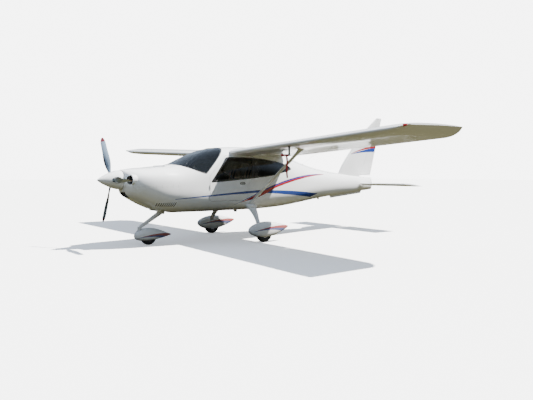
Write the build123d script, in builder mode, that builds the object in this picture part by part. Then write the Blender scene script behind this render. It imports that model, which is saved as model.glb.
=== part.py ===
"""Two-seat high-wing light aircraft on its tricycle gear, as separate named pieces.

Millimetres. +X is forward, +Y is to the pilot's left and +Z is up. The origin is on the
ground, under the middle of the aircraft's length, in its plane of symmetry. Lengthwise
places are stations: distances aft of the tip of the spinner.
"""

from build123d import *
from collections import namedtuple
from math import cos, pi, radians, sin, sqrt
import os

os.makedirs("parts", exist_ok=True)

# ---------------------------------------------------------------- driving dimensions
LENGTH = 6970.0  # spinner tip to the top of the rudder's trailing edge
SPAN = 8900.0
TAIL_TOP_Z = 2587.0

# body sections: stations, half widths and heights
NOSE_RING_S = 408.0
NOSE_RING_R = 172.0
PROP_Z = 1136.0
COWL_END_S = 1250.0
CABIN_END_S = 3760.0
BODY_END_S = 6600.0
CABIN_HALF = 600.0
CABIN_FLOOR_Z = 553.0
WIDEST_Z = 1020.0
ROOF_Z = 1746.0
COWL_SKIN = 8.0
CABIN_WALL = 25.0
TAIL_SKIN = 8.0
TAIL_CAP = 30.0
FIREWALL_T = 12.0
COWL_SPLIT_Z = 1030.0

# glazing and doors
GLASS_T = 5.0
GLASS_INSET = 5.0
GLASS_GAP = 0.3
DOOR_GAP = 5.0
DOOR_FRONT_S = 1800.0
DOOR_SILL_Z = 760.0
DOOR_AFT_LOW_S = 2585.0
DOOR_AFT_HIGH_S = 2760.0
DOOR_TOP_Z = 1566.0
HINGE_R = 9.0
HINGE_PIN_R = 4.0
HINGE_LENGTH = 44.0
HINGE_HEIGHTS = (830.0, 1010.0)
KNUCKLE_LENGTH = 12.0
FIT_GAP = 0.3  # between pieces that are seated on each other
PIN_FIT = 0.05  # radial clearance of a pin in its bore

# wing: a straight panel with dihedral, then an upswept tip
WING_LE_S = 2260.0
WING_CHORD = 1340.0
WING_THICK = 0.108
WING_CAMBER = 0.025
WING_NOSE_Z = 1606.0
WING_TE_DROP = 48.0
WING_START_Y = 300.0
DIHEDRAL = 2.75
TIP_LENGTH = 400.0
TIP_TE_RISE = 75.0
TIP_TE_CUT = 165.0
FLAP_FROM_Y = 690.0
FLAP_TO_Y = 2340.0
AILERON_TO_Y = 4020.0
HINGE_FRACTION = 0.73
SURFACE_GAP = 6.0
END_GAP = 6.0
SURFACE_PIN_R = 6.0
PIN_DEPTH = 24.0
HINGE_ARM_T = 6.0
TE_THICK = 4.0

# tie-down sockets under the wings
TIE_DOWN_S = 2560.0
TIE_DOWN_Y = 1990.0
TIE_DOWN_Z = 1636.0
TIE_DOWN_R = 4.0
TIE_DOWN_PAD_R = 15.0
TIE_DOWN_DEPTH = 40.0

# lift struts
STRUT_S = 2700.0
STRUT_LOW_Y = 500.0
STRUT_LOW_Z = 668.0
STRUT_HIGH_Y = 2060.0
STRUT_HIGH_Z = 1699.0
STRUT_CHORD = 80.0
STRUT_THICK = 30.0

# propeller
PROP_S = 250.0
PROP_R = 838.0
BLADES = 3
SPINNER_R = 164.0
SPINNER_SKIN = 4.0
SPINNER_BASE_S = 400.0
HUB_R = 62.0
SHAFT_R = 40.0
BACKPLATE_T = 5.0

# engine block
ENGINE_FRONT_S = 650.0
ENGINE_LENGTH = 480.0
ENGINE_WIDTH = 560.0
ENGINE_HEIGHT = 340.0
MOUNT_TUBE_R = 12.0

# wheels
TRACK = 1840.0
MAIN_S = 2732.0
MAIN_TYRE_R = 165.0
TYRE_WIDTH = 102.0
RIM_R = 80.0
RIM_WIDTH = 84.0
AXLE_R = 12.0
NOSE_S = 895.0
NOSE_TYRE_R = 142.0
NOSE_RIM_R = 62.0
PIVOT_S = 728.0
PIVOT_R = 17.0
TOWBAR_R = 6.0
BOSS_R = 31.0
BOSS_LOW_Z = 214.0
BOSS_HEIGHT = 108.0
NOSE_LEG_HEAD = (1180.0, 592.0)
NOSE_LEG_FOOT = (PIVOT_S + 14, 318.0)
NOSE_LEG_HEAD_CHORD = 92.0
NOSE_LEG_FOOT_CHORD = 58.0
NOSE_LEG_THICK = 40.0
LEG_BLOCK_LOW_Z = 604.0
LEG_BLOCK_HIGH_Z = 664.0
CROWN_T = 16.0
CROWN_HALF = 22.0
FORK_HALF = 60.0
FORK_T = 8.0
PANT_HOLE_R = 48.0

# tail surfaces
STAB_SPAN = 2884.0
STAB_LE_S = 6105.0
STAB_CHORD = 560.0
STAB_HINGE_S = 6265.0
STAB_Z = 1012.0
STAB_THICK = 0.10
STAB_ROOT_Y = 118.0
STAB_DROOP = 5.0
STAB_TUBE_R = 22.0
STAB_TUBE_INTO = 40.0
TAB_CHORD = 100.0
TAB_FROM_Y = 190.0
TAB_TO_Y = 900.0
TAB_GAP = 5.0
TAB_PIN_R = 2.5
RUDDER_FOOT_Z = 1215.0
FIN_THICK = 0.09
RUDDER_FOOT_S = 6215.0
RUDDER_HEAD_S = 6845.0
RUDDER_GAP = 6.0
RUDDER_PIN_R = 7.0
RUDDER_START = 16.0
STRAKE_T = 26.0
TAIL_EYE_R = 6.0

MIRROR_PLANE = Plane.XZ
BIG = 3000.0


def x_at(station):
    """Row X of a station."""
    return LENGTH / 2 - station


# ---------------------------------------------------------------- body surface
Section = namedtuple("Section", "s half low wide top low_n high_n")
BODY = [
    Section(NOSE_RING_S, NOSE_RING_R, PROP_Z - NOSE_RING_R, PROP_Z, PROP_Z + NOSE_RING_R, 2.0, 2.0),
    Section(450, 262, 862, 1124, 1314, 2.1, 2.2),
    Section(520, 352, 822, 1108, 1324, 2.3, 2.3),
    Section(640, 428, 756, 1088, 1338, 2.4, 2.5),
    Section(800, 484, 676, 1068, 1351, 2.5, 2.6),
    Section(1000, 522, 600, 1050, 1372, 2.7, 2.7),
    Section(COWL_END_S, CABIN_HALF - 50, CABIN_FLOOR_Z + 4, 1030, 1398, 2.9, 2.5),
    Section(1500, CABIN_HALF - 25, CABIN_FLOOR_Z + 2, WIDEST_Z, 1506, 3.2, 2.4),
    Section(1760, CABIN_HALF - 8, CABIN_FLOOR_Z, WIDEST_Z, 1618, 3.4, 2.6),
    Section(2060, CABIN_HALF, CABIN_FLOOR_Z, WIDEST_Z, ROOF_Z - 38, 3.5, 3.3),
    Section(2420, CABIN_HALF, CABIN_FLOOR_Z, WIDEST_Z, ROOF_Z - 6, 3.5, 4.2),
    Section(2780, CABIN_HALF, CABIN_FLOOR_Z, WIDEST_Z, ROOF_Z, 3.5, 4.4),
    Section(3200, CABIN_HALF - 30, CABIN_FLOOR_Z + 6, WIDEST_Z, ROOF_Z - 22, 3.2, 3.8),
    Section(CABIN_END_S, 505, 590, WIDEST_Z + 4, 1620, 2.9, 2.8),
    Section(4400, 382, 664, WIDEST_Z + 6, 1442, 2.6, 2.3),
    Section(5200, 246, 756, WIDEST_Z + 4, 1292, 2.4, 2.1),
    Section(5600, 186, 791, WIDEST_Z + 2, 1246, 2.3, 2.0),
    Section(6000, 124, 828, WIDEST_Z, 1208, 2.2, 2.0),
    Section(6300, 86, 856, WIDEST_Z, 1186, 2.1, 2.0),
    Section(BODY_END_S, 50, 884, WIDEST_Z, 1166, 2.0, 2.0),
]


def section_at(station):
    """The body's section at any station, between the listed ones."""
    for fore, aft in zip(BODY, BODY[1:]):
        if station <= aft.s:
            share = (station - fore.s) / (aft.s - fore.s)
            return Section(*(a + (b - a) * share for a, b in zip(fore, aft)))
    return BODY[-1]


def half_width(station, height):
    """The body's half width at a station and a height."""
    sec = section_at(station)
    if height >= sec.wide:
        return sec.half * (1 - ((height - sec.wide) / (sec.top - sec.wide)) ** sec.high_n) ** (1 / sec.high_n)
    return sec.half * (1 - ((sec.wide - height) / (sec.wide - sec.low)) ** sec.low_n) ** (1 / sec.low_n)


def arch(half, wide, reach, roundness, inset, steps=8):
    """Points of one half of a section, from its left widest point over to its right one."""
    points = []
    for i in range(steps + 1):
        turn = pi * i / steps
        across = abs(cos(turn)) ** (2 / roundness) * (1 if cos(turn) > 0 else -1)
        rise = sin(turn) ** (2 / roundness) if 0 < i < steps else 0.0
        sign = 1 if reach > 0 else -1
        points.append(((half - inset) * across, wide + (reach - sign * inset) * rise))
    return points


def ring_points(sec, inset, steps=8):
    """Points once round a section, from the bottom centre up its left side."""
    upper = arch(sec.half, sec.wide, sec.top - sec.wide, sec.high_n, inset, steps)
    lower = arch(sec.half, sec.wide, sec.low - sec.wide, sec.low_n, inset, steps)
    lower.reverse()
    foot = steps // 2
    return lower[foot:] + upper[1:] + lower[1:foot]


def body_face(sec, inset):
    """A section's face, square to the aircraft's length."""
    plane = Plane(origin=(x_at(sec.s), 0, 0), x_dir=(0, 1, 0), z_dir=(1, 0, 0))
    with BuildLine() as outline:
        Spline(*ring_points(sec, inset), periodic=True)
    return plane.location * Face(outline.wire())


def body_solid(inset):
    """The whole body's outer form, moved inwards by an inset."""
    with BuildPart() as form:
        loft([body_face(sec, inset) for sec in BODY])
    return form.part


def slab(from_s, to_s, from_z=-500.0, to_z=BIG, from_y=-BIG, to_y=BIG):
    """A box between two stations, for cutting the body into its panels."""
    with BuildPart() as box:
        with BuildSketch(Plane.XY.offset(from_z)):
            with Locations((x_at((from_s + to_s) / 2), (from_y + to_y) / 2)):
                Rectangle(to_s - from_s, to_y - from_y)
        extrude(amount=to_z - from_z)
    return box.part


def side_prism(points, corner, grow=0.0, from_y=-BIG, to_y=BIG):
    """A prism across the aircraft from a side-view outline of (station, height) points."""
    with BuildPart() as prism:
        with BuildSketch(Plane.XZ.offset(-to_y)) as outline:
            with BuildLine():
                Polyline(*[(x_at(s), z) for s, z in points], close=True)
            make_face()
            fillet(outline.vertices(), corner)
            if grow:
                offset(amount=grow)
        extrude(amount=to_y - from_y)
    return prism.part


def body_length(inset, from_s, to_s):
    """A length of the body's form between two stations."""
    return body_solid(inset) & slab(from_s, to_s)


def body_wall(outside, inside, from_s, to_s):
    """The wall between two insets of the body's form, sewn from its four faces."""
    outer, inner = body_length(outside, from_s, to_s), body_length(inside, from_s, to_s)
    skins = [form.faces().filter_by(GeomType.PLANE, reverse=True)[0] for form in (outer, inner)]
    outer_ends = outer.faces().filter_by(GeomType.PLANE).sort_by(Axis.X)
    inner_ends = inner.faces().filter_by(GeomType.PLANE).sort_by(Axis.X)
    rings = [Face(o.outer_wire(), [i.outer_wire()]) for o, i in zip(outer_ends, inner_ends)]
    return Solid(Shell([*skins, *rings])).fix()


body_outer = body_solid(0.0)
body_seat = body_solid(-FIT_GAP)
print("body volume", round(body_outer.volume / 1e9, 3), "m3")

# ---------------------------------------------------------------- outlines in the side view
PILLAR_LEAN = radians(45.7)
WINDSHIELD = [
    (1270, 1412), (1400, 1362), (1580, 1290), (1735, 1240), (2180, 1696), (2190, 1790), (1280, 1790)
]
DOOR_LEAN_TOP_S = DOOR_FRONT_S + (DOOR_TOP_Z - 1200.0) / (sin(PILLAR_LEAN) / cos(PILLAR_LEAN))
DOOR = [
    (DOOR_FRONT_S, DOOR_SILL_Z),
    (DOOR_AFT_LOW_S, DOOR_SILL_Z),
    (DOOR_AFT_LOW_S, 1010.0),
    (DOOR_AFT_HIGH_S, 1230.0),
    (DOOR_AFT_HIGH_S, DOOR_TOP_Z),
    (DOOR_LEAN_TOP_S, DOOR_TOP_Z),
    (DOOR_FRONT_S, 1200.0),
]
DOOR_WINDOW = [(1832, 1118), (2695, 1176), (2710, 1536), (2206, 1540)]
QUARTER_WINDOW = [
    (2832, 1186), (3345, 1232), (3620, 1296), (3712, 1362), (3630, 1420), (3300, 1486), (2832, 1534)
]


glass_wall = body_wall(GLASS_INSET, GLASS_INSET + GLASS_T, COWL_END_S, CABIN_END_S)


def glass(points, corner, from_y, to_y):
    """A pane that follows the body's surface inside an opening."""
    with BuildPart() as pane:
        add(glass_wall)
        add(side_prism(points, corner, -GLASS_GAP, from_y, to_y), mode=Mode.INTERSECT)
    return pane.part


def keep(part, name):
    """Label a finished piece and write it as its own STEP file."""
    part.label = name
    export_step(part, f"parts/{name}.step")
    print(f"{name:20s} {part.volume / 1e6:10.2f} litres {len(part.solids())} solids")


# ---------------------------------------------------------------- nose leg's blade
nose_head = Vector(x_at(NOSE_LEG_HEAD[0]), 0, NOSE_LEG_HEAD[1])
nose_foot = Vector(x_at(NOSE_LEG_FOOT[0]), 0, NOSE_LEG_FOOT[1])


def nose_blade(grow):
    """The raked blade of the nose leg, from its pivot boss up into the cowl."""
    with BuildPart() as blade:
        for end, chord in ((nose_foot, NOSE_LEG_FOOT_CHORD), (nose_head, NOSE_LEG_HEAD_CHORD)):
            with BuildSketch(Plane(origin=end, x_dir=(0, 1, 0), z_dir=nose_head - nose_foot)):
                Ellipse(NOSE_LEG_THICK / 2 + grow, chord / 2 + grow)
        loft()
    return blade.part


# ---------------------------------------------------------------- cowl
INTAKE_Y = 285.0
INTAKE_Z = 1141.0
INTAKE_R = 74.0
INTAKE_LIP = 13.0
INTAKE_FRONT_S = 472.0
CHIN_HALF = 122.0
CHIN_LOW_Z = 840.0
CHIN_HIGH_Z = 930.0
CHIN_CORNER_R = 40.0
CHIN_DEPTH = 200.0
COWL_SEAM = 1.0
OUTLET_HALF = 190.0
OUTLET_LENGTH = 160.0
LEG_CUT_GAP = 6.0


def facing_aft(station, y, z):
    """A plane square to the aircraft's length, facing aft."""
    return Plane(origin=(x_at(station), y, z), x_dir=(0, 1, 0), z_dir=(-1, 0, 0))


def forward_disc(y, z, radius, from_s, to_s, end_radius=None):
    """A round bar along the aircraft, or a cone if the aft end's radius differs."""
    with BuildPart() as bar:
        with BuildSketch(facing_aft(from_s, y, z)):
            Circle(radius)
        with BuildSketch(facing_aft(to_s, y, z)):
            Circle(end_radius or radius)
        loft()
    return bar.part


def intake_duct(side, radius, lip_radius, aft_radius, from_s, to_s):
    """A round intake duct on one side, opening out from its lip to where the skin takes over."""
    with BuildPart() as duct:
        add(forward_disc(side * INTAKE_Y, INTAKE_Z, lip_radius, from_s, to_s, aft_radius))
        add(forward_disc(side * INTAKE_Y, INTAKE_Z, radius, from_s - 1, to_s + 1), mode=Mode.SUBTRACT)
    return duct.part


cowl_wall = body_wall(0.0, COWL_SKIN, NOSE_RING_S, COWL_END_S)
INTAKE_AFT_S = ENGINE_FRONT_S - 20.0
with BuildPart() as cowl_upper:
    add(cowl_wall)
    add(slab(0, 2000, COWL_SPLIT_Z + COWL_SEAM / 2, 2000), mode=Mode.INTERSECT)
    for side in (1, -1):
        lip = INTAKE_R + INTAKE_LIP
        add(forward_disc(side * INTAKE_Y, INTAKE_Z, INTAKE_R, NOSE_RING_S, INTAKE_AFT_S), mode=Mode.SUBTRACT)
        add(intake_duct(side, INTAKE_R, lip, lip + 10, INTAKE_FRONT_S, INTAKE_AFT_S))
with BuildPart() as cowl_lower:
    add(cowl_wall)
    add(slab(0, 2000, 0, COWL_SPLIT_Z - COWL_SEAM / 2), mode=Mode.INTERSECT)
    with BuildSketch(facing_aft(NOSE_RING_S - 1, 0, (CHIN_LOW_Z + CHIN_HIGH_Z) / 2)):
        RectangleRounded(2 * CHIN_HALF, CHIN_HIGH_Z - CHIN_LOW_Z, CHIN_CORNER_R)
    extrude(amount=CHIN_DEPTH, mode=Mode.SUBTRACT)
    add(
        slab(COWL_END_S - OUTLET_LENGTH, COWL_END_S + 1, 400, 700, -OUTLET_HALF, OUTLET_HALF),
        mode=Mode.SUBTRACT,
    )
    add(nose_blade(LEG_CUT_GAP), mode=Mode.SUBTRACT)
keep(cowl_upper.part, "cowl_upper")
keep(cowl_lower.part, "cowl_lower")

# ---------------------------------------------------------------- firewall with the nose leg's socket
with BuildPart() as firewall:
    add(body_length(COWL_SKIN, COWL_END_S - FIREWALL_T, COWL_END_S))
    add(slab(COWL_END_S - 60, COWL_END_S + 60, 0, 600, -OUTLET_HALF, OUTLET_HALF), mode=Mode.SUBTRACT)
keep(firewall.part, "firewall")

# ---------------------------------------------------------------- engine block, with its mount and shaft
ENGINE_AFT_S = ENGINE_FRONT_S + ENGINE_LENGTH
with BuildPart() as engine_block:
    with BuildSketch(facing_aft(ENGINE_FRONT_S, 0, PROP_Z - 25)) as face:
        Rectangle(ENGINE_WIDTH, ENGINE_HEIGHT)
        fillet(face.vertices(), 40)
    extrude(amount=ENGINE_LENGTH)
    for y in (-180, 180):
        for z in (-120, 90):
            add(forward_disc(y, PROP_Z + z, MOUNT_TUBE_R, ENGINE_AFT_S - 5, COWL_END_S - FIREWALL_T))
    add(forward_disc(0, PROP_Z, SHAFT_R, SPINNER_BASE_S + 0.5, ENGINE_FRONT_S + 5))
keep(engine_block.part, "engine_block")

# ---------------------------------------------------------------- exhaust pipe
EXHAUST_Y = -90.0
EXHAUST_R = 24.0
with BuildPart() as exhaust_pipe:
    with BuildLine() as route:
        FilletPolyline(
            (x_at(1050), EXHAUST_Y, PROP_Z - 25 - ENGINE_HEIGHT / 2),
            (x_at(1050), EXHAUST_Y, 660),
            (x_at(1150), EXHAUST_Y, 572),
            (x_at(1240), EXHAUST_Y, 536),
            radius=45,
        )
    with BuildSketch(Plane(origin=route.line @ 0, z_dir=route.line % 0)):
        Circle(EXHAUST_R)
        Circle(EXHAUST_R - 3, mode=Mode.SUBTRACT)
    sweep()
keep(exhaust_pipe.part, "exhaust_pipe")


# ---------------------------------------------------------------- propeller
def blade_section(radius_at, chord, twist, thickness):
    """A lens-shaped blade section at a distance from the hub, pitched by its twist."""
    plane = Plane(
        origin=(x_at(PROP_S), radius_at, PROP_Z),
        x_dir=(cos(radians(twist)), 0, sin(radians(twist))),
        z_dir=(0, 1, 0),
    )
    with BuildSketch(plane) as lens:
        with BuildLine():
            Spline((-chord * 0.45, 0), (chord * 0.1, thickness * 0.6), (chord * 0.55, 0))
            Spline((chord * 0.55, 0), (chord * 0.1, -thickness * 0.4), (-chord * 0.45, 0))
        make_face()
    return lens.sketch


BLADE_STATIONS = [
    (HUB_R - 12, 46, 74, 34),
    (150, 60, 66, 30),
    (270, 112, 57, 20),
    (430, 118, 44, 14),
    (640, 92, 32, 9),
    (PROP_R - 34, 58, 25, 6),
    (PROP_R, 22, 24, 4),
]
with BuildPart() as blade:
    for radius_at, chord, twist, thickness in BLADE_STATIONS:
        add(blade_section(radius_at, chord, twist, thickness))
    loft()

PROP_AXIS = Axis((x_at(PROP_S), 0, PROP_Z), (1, 0, 0))
HUB_FRONT_S = PROP_S - 38.0
with BuildPart() as propeller:
    add(forward_disc(0, PROP_Z, HUB_R, HUB_FRONT_S, SPINNER_BASE_S - BACKPLATE_T - FIT_GAP))
    for i in range(BLADES):
        add(blade.part.rotate(PROP_AXIS, 360.0 / BLADES * i))
keep(propeller.part, "propeller")

# ---------------------------------------------------------------- spinner and its backplate
BLADE_HOLE_R = 36.0
SPINNER_SHARES = (0.0, 0.06, 0.18, 0.36, 0.6, 0.82, 1.0)


def spinner_profile(inset):
    """Half outline of the pointed spinner, as (station, radius) points."""
    tip_s = inset * 2
    length, radius = SPINNER_BASE_S - tip_s, SPINNER_R - inset
    return [(x_at(tip_s + length * t), radius * (1 - (1 - t) ** 1.6) ** 0.85) for t in SPINNER_SHARES]


def spinner_form(inset):
    """The solid of revolution inside the spinner's surface."""
    with BuildPart() as form:
        with BuildSketch(Plane(origin=(0, 0, PROP_Z), x_dir=(1, 0, 0), z_dir=(0, -1, 0))):
            points = spinner_profile(inset)
            with BuildLine():
                Spline(*points)
                Line(points[-1], (points[-1][0], 0))
                Line((points[-1][0], 0), points[0])
            make_face()
        revolve(axis=Axis((0, 0, PROP_Z), (1, 0, 0)))
    return form.part


with BuildPart() as spinner:
    add(spinner_form(0.0))
    add(spinner_form(SPINNER_SKIN), mode=Mode.SUBTRACT)
    add(forward_disc(0, PROP_Z, SPINNER_R - 2, SPINNER_BASE_S - BACKPLATE_T, SPINNER_BASE_S))
    for i in range(BLADES):
        turn = 2 * pi * i / BLADES
        with BuildSketch(Plane(origin=(x_at(PROP_S), 0, PROP_Z), z_dir=(0, cos(turn), sin(turn)))):
            Circle(BLADE_HOLE_R)
        extrude(amount=SPINNER_R * 2, mode=Mode.SUBTRACT)
keep(spinner.part, "spinner")

# ---------------------------------------------------------------- cabin shell
cabin_wall = body_wall(0.0, CABIN_WALL, COWL_END_S, CABIN_END_S)


def hinge_barrel(side, height, from_z, to_z, radius):
    """A round bar on a door's hinge line, between two heights measured from a hinge's middle."""
    with BuildPart() as barrel:
        with BuildSketch(Plane.XY.offset(height + from_z)):
            with Locations((x_at(DOOR_AXIS_S), side * DOOR_AXIS_Y)):
                Circle(radius)
        extrude(amount=to_z - from_z)
    return barrel.part


KNUCKLE_START = HINGE_LENGTH / 2 + FIT_GAP
KNUCKLE_END = KNUCKLE_START + KNUCKLE_LENGTH
DOOR_AXIS_S = DOOR_FRONT_S - DOOR_GAP / 2
DOOR_AXIS_Y = half_width(DOOR_AXIS_S, HINGE_HEIGHTS[1]) + 4.0

with BuildPart() as cabin_shell:
    add(cabin_wall)
    add(side_prism(WINDSHIELD, 30), mode=Mode.SUBTRACT)
    for side in (1, -1):
        low, high = (250, BIG) if side > 0 else (-BIG, -250)
        add(side_prism(DOOR, 45, DOOR_GAP, low, high), mode=Mode.SUBTRACT)
        add(side_prism(QUARTER_WINDOW, 34, 0, low, high), mode=Mode.SUBTRACT)
        for height in HINGE_HEIGHTS:
            clear = KNUCKLE_START + DOOR_GAP
            add(hinge_barrel(side, height, -clear, clear, HINGE_R + DOOR_GAP), mode=Mode.SUBTRACT)
            add(hinge_barrel(side, height, KNUCKLE_START, KNUCKLE_END, HINGE_R))
            add(hinge_barrel(side, height, -KNUCKLE_END, -KNUCKLE_START, HINGE_R))
            add(hinge_barrel(side, height, -KNUCKLE_END, KNUCKLE_END, HINGE_PIN_R))
keep(cabin_shell.part, "cabin_shell")

# ---------------------------------------------------------------- rudder's hinge line
rudder_foot = Vector(x_at(RUDDER_FOOT_S), 0, RUDDER_FOOT_Z)
rudder_head = Vector(x_at(RUDDER_HEAD_S), 0, TAIL_TOP_Z)
RUDDER_AXIS = (rudder_head - rudder_foot).normalized()
RUDDER_FRAME = Plane(origin=rudder_foot, x_dir=(0, 1, 0), z_dir=RUDDER_AXIS)
RUDDER_SPAN = (rudder_head - rudder_foot).length


def rudder_rod(radius, from_d, to_d):
    """A round bar on the rudder's hinge line, between two distances up from its foot."""
    with BuildPart() as rod:
        with BuildSketch(RUDDER_FRAME.offset(from_d)):
            Circle(radius)
        extrude(amount=to_d - from_d)
    return rod.part


# ---------------------------------------------------------------- tail cone with its strake
STRAKE = [(5210.0, 830.0), (5290.0, 708.0), (6240.0, 800.0), (6290.0, 900.0)]
TAIL_EYE = (5335.0, 752.0)
with BuildPart() as strake:
    add(side_prism(STRAKE, 12, 0, -STRAKE_T / 2, STRAKE_T / 2))
    with BuildSketch(Plane.XZ.offset(-BIG)):
        with Locations((x_at(TAIL_EYE[0]), TAIL_EYE[1])):
            Circle(TAIL_EYE_R)
    extrude(amount=2 * BIG, mode=Mode.SUBTRACT)
    add(body_solid(TAIL_SKIN / 2), mode=Mode.SUBTRACT)
with BuildPart() as tail_cone:
    add(body_wall(0.0, TAIL_SKIN, CABIN_END_S, BODY_END_S))
    add(body_length(TAIL_SKIN - 1, BODY_END_S - TAIL_CAP, BODY_END_S))
    add(strake.part)
    add(rudder_rod(RUDDER_PIN_R, -2 * PIN_DEPTH, RUDDER_START + PIN_DEPTH))
    with BuildSketch(Plane.XZ.offset(-BIG)):
        with Locations((x_at(STAB_HINGE_S), STAB_Z)):
            Circle(STAB_TUBE_R + PIN_FIT)
    extrude(amount=2 * BIG, mode=Mode.SUBTRACT)
keep(tail_cone.part, "tail_cone")

# ---------------------------------------------------------------- glazing
keep(glass(WINDSHIELD, 30, -BIG, BIG), "windshield")

quarter_left = glass(QUARTER_WINDOW, 34, 250, BIG)
with BuildPart() as quarter_windows:
    add(quarter_left)
    mirror(quarter_left, about=MIRROR_PLANE)
keep(quarter_windows.part, "quarter_windows")

# ---------------------------------------------------------------- doors
HINGE_LEAF_T = 7.0


def hinge_leaf(height):
    """Side outline of the leaf that ties a hinge barrel to its door."""
    low, high = height - HINGE_LENGTH / 2, height + HINGE_LENGTH / 2
    aft = DOOR_FRONT_S + HINGE_R + 3 * DOOR_GAP
    return [(DOOR_AXIS_S, low), (aft, low), (aft, high), (DOOR_AXIS_S, high)]


with BuildPart() as door_left:
    add(cabin_wall)
    add(side_prism(DOOR, 45, 0, 250, BIG), mode=Mode.INTERSECT)
    add(side_prism(DOOR_WINDOW, 45, 0, 250, BIG), mode=Mode.SUBTRACT)
    for height in HINGE_HEIGHTS:
        clear = KNUCKLE_END + DOOR_GAP
        add(hinge_barrel(1, height, -clear, clear, HINGE_R + DOOR_GAP), mode=Mode.SUBTRACT)
        add(hinge_barrel(1, height, -HINGE_LENGTH / 2, HINGE_LENGTH / 2, HINGE_R))
        add(side_prism(hinge_leaf(height), 1, 0, DOOR_AXIS_Y - HINGE_R, DOOR_AXIS_Y + HINGE_LEAF_T - HINGE_R))
        add(hinge_barrel(1, height, -HINGE_LENGTH, HINGE_LENGTH, HINGE_PIN_R + PIN_FIT), mode=Mode.SUBTRACT)
keep(door_left.part, "door_left")
with BuildPart() as door_right:
    mirror(door_left.part, about=MIRROR_PLANE)
keep(door_right.part, "door_right")

glass_left = glass(DOOR_WINDOW, 45, 250, BIG)
keep(glass_left, "door_glass_left")
with BuildPart() as glass_right:
    mirror(glass_left, about=MIRROR_PLANE)
keep(glass_right.part, "door_glass_right")


# ---------------------------------------------------------------- wing
def airfoil(x, thick, camber, chord):
    """Half thickness and camber height of the wing's section at a share of its chord."""
    half = 5 * thick * chord * (0.2969 * sqrt(x) - 0.126 * x - 0.3516 * x**2 + 0.2843 * x**3 - 0.1015 * x**4)
    return half, camber * chord * 4 * x * (1 - x)


def wing_section(frame, nose, chord, te_rise, thick, camber, te_thick=TE_THICK, steps=10):
    """Face of a wing section on a plane whose local x runs aft and local y runs up."""
    upper, lower = [], []
    for i in range(steps + 1):
        x = (1 - cos(pi * i / steps)) / 2
        half, line = airfoil(x, thick, camber, chord)
        half += te_thick / 2 * x
        rise = te_rise * x
        upper.append((nose[0] + x * chord, nose[1] + rise + line + half))
        lower.append((nose[0] + x * chord, nose[1] + rise + line - half))
    with BuildSketch(frame) as face:
        with BuildLine():
            Spline(*reversed(upper), *lower[1:])
            Line(lower[-1], upper[-1])
        make_face()
    return face.sketch


DIP = radians(DIHEDRAL)
WING_FRAME = Plane(
    origin=(x_at(WING_LE_S), WING_START_Y, WING_NOSE_Z + WING_START_Y * sin(DIP) / cos(DIP)),
    x_dir=(-1, 0, 0),
    z_dir=(0, cos(DIP), sin(DIP)),
)
PANEL_LENGTH = (SPAN / 2 - WING_START_Y) / cos(DIP)
TIP_FROM = PANEL_LENGTH - TIP_LENGTH


def along(y):
    """Distance along the wing from its start to a row Y on its line."""
    return (y - WING_START_Y) / cos(DIP)


def wing_box(from_x, to_x, from_d, to_d, low=-400, high=400):
    """A block in the wing's own frame: aft distance, distance along the span, height."""
    with BuildPart() as block:
        with BuildSketch(WING_FRAME.offset(from_d)):
            with Locations(((from_x + to_x) / 2, (low + high) / 2)):
                Rectangle(to_x - from_x, high - low)
        extrude(amount=to_d - from_d)
    return block.part


HINGE_X = HINGE_FRACTION * WING_CHORD
hinge_half, hinge_line = airfoil(HINGE_FRACTION, WING_THICK, WING_CAMBER, WING_CHORD)
HINGE_HIGH = hinge_line - WING_TE_DROP * HINGE_FRACTION
SURFACE_R = hinge_half + TE_THICK / 2 * HINGE_FRACTION


def hinge_rod(radius, from_d, to_d):
    """A round bar on the flap's and aileron's hinge line."""
    with BuildPart() as rod:
        with BuildSketch(WING_FRAME.offset(from_d)):
            with Locations((HINGE_X, HINGE_HIGH)):
                Circle(radius)
        extrude(amount=to_d - from_d)
    return rod.part


def full_section(distance):
    """The wing's full section at a distance along the span."""
    frame = WING_FRAME.offset(distance)
    return wing_section(frame, (0, 0), WING_CHORD, -WING_TE_DROP, WING_THICK, WING_CAMBER)


with BuildPart() as wing_blank:
    for distance in (0.0, TIP_FROM):
        add(full_section(distance))
    loft(ruled=True)
MID_CHORD = WING_CHORD - 46
END_CHORD = WING_CHORD - TIP_TE_CUT - 40
with BuildPart() as wing_tip:
    add(full_section(TIP_FROM))
    mid_frame = WING_FRAME.offset(TIP_FROM + TIP_LENGTH * 0.55)
    add(wing_section(mid_frame, (6, 6), MID_CHORD, -22, WING_THICK * 0.78, WING_CAMBER))
    end_frame = WING_FRAME.offset(PANEL_LENGTH)
    add(wing_section(end_frame, (40, 26), END_CHORD, TIP_TE_RISE - WING_TE_DROP, 0.02, WING_CAMBER / 2))
    loft()

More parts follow.
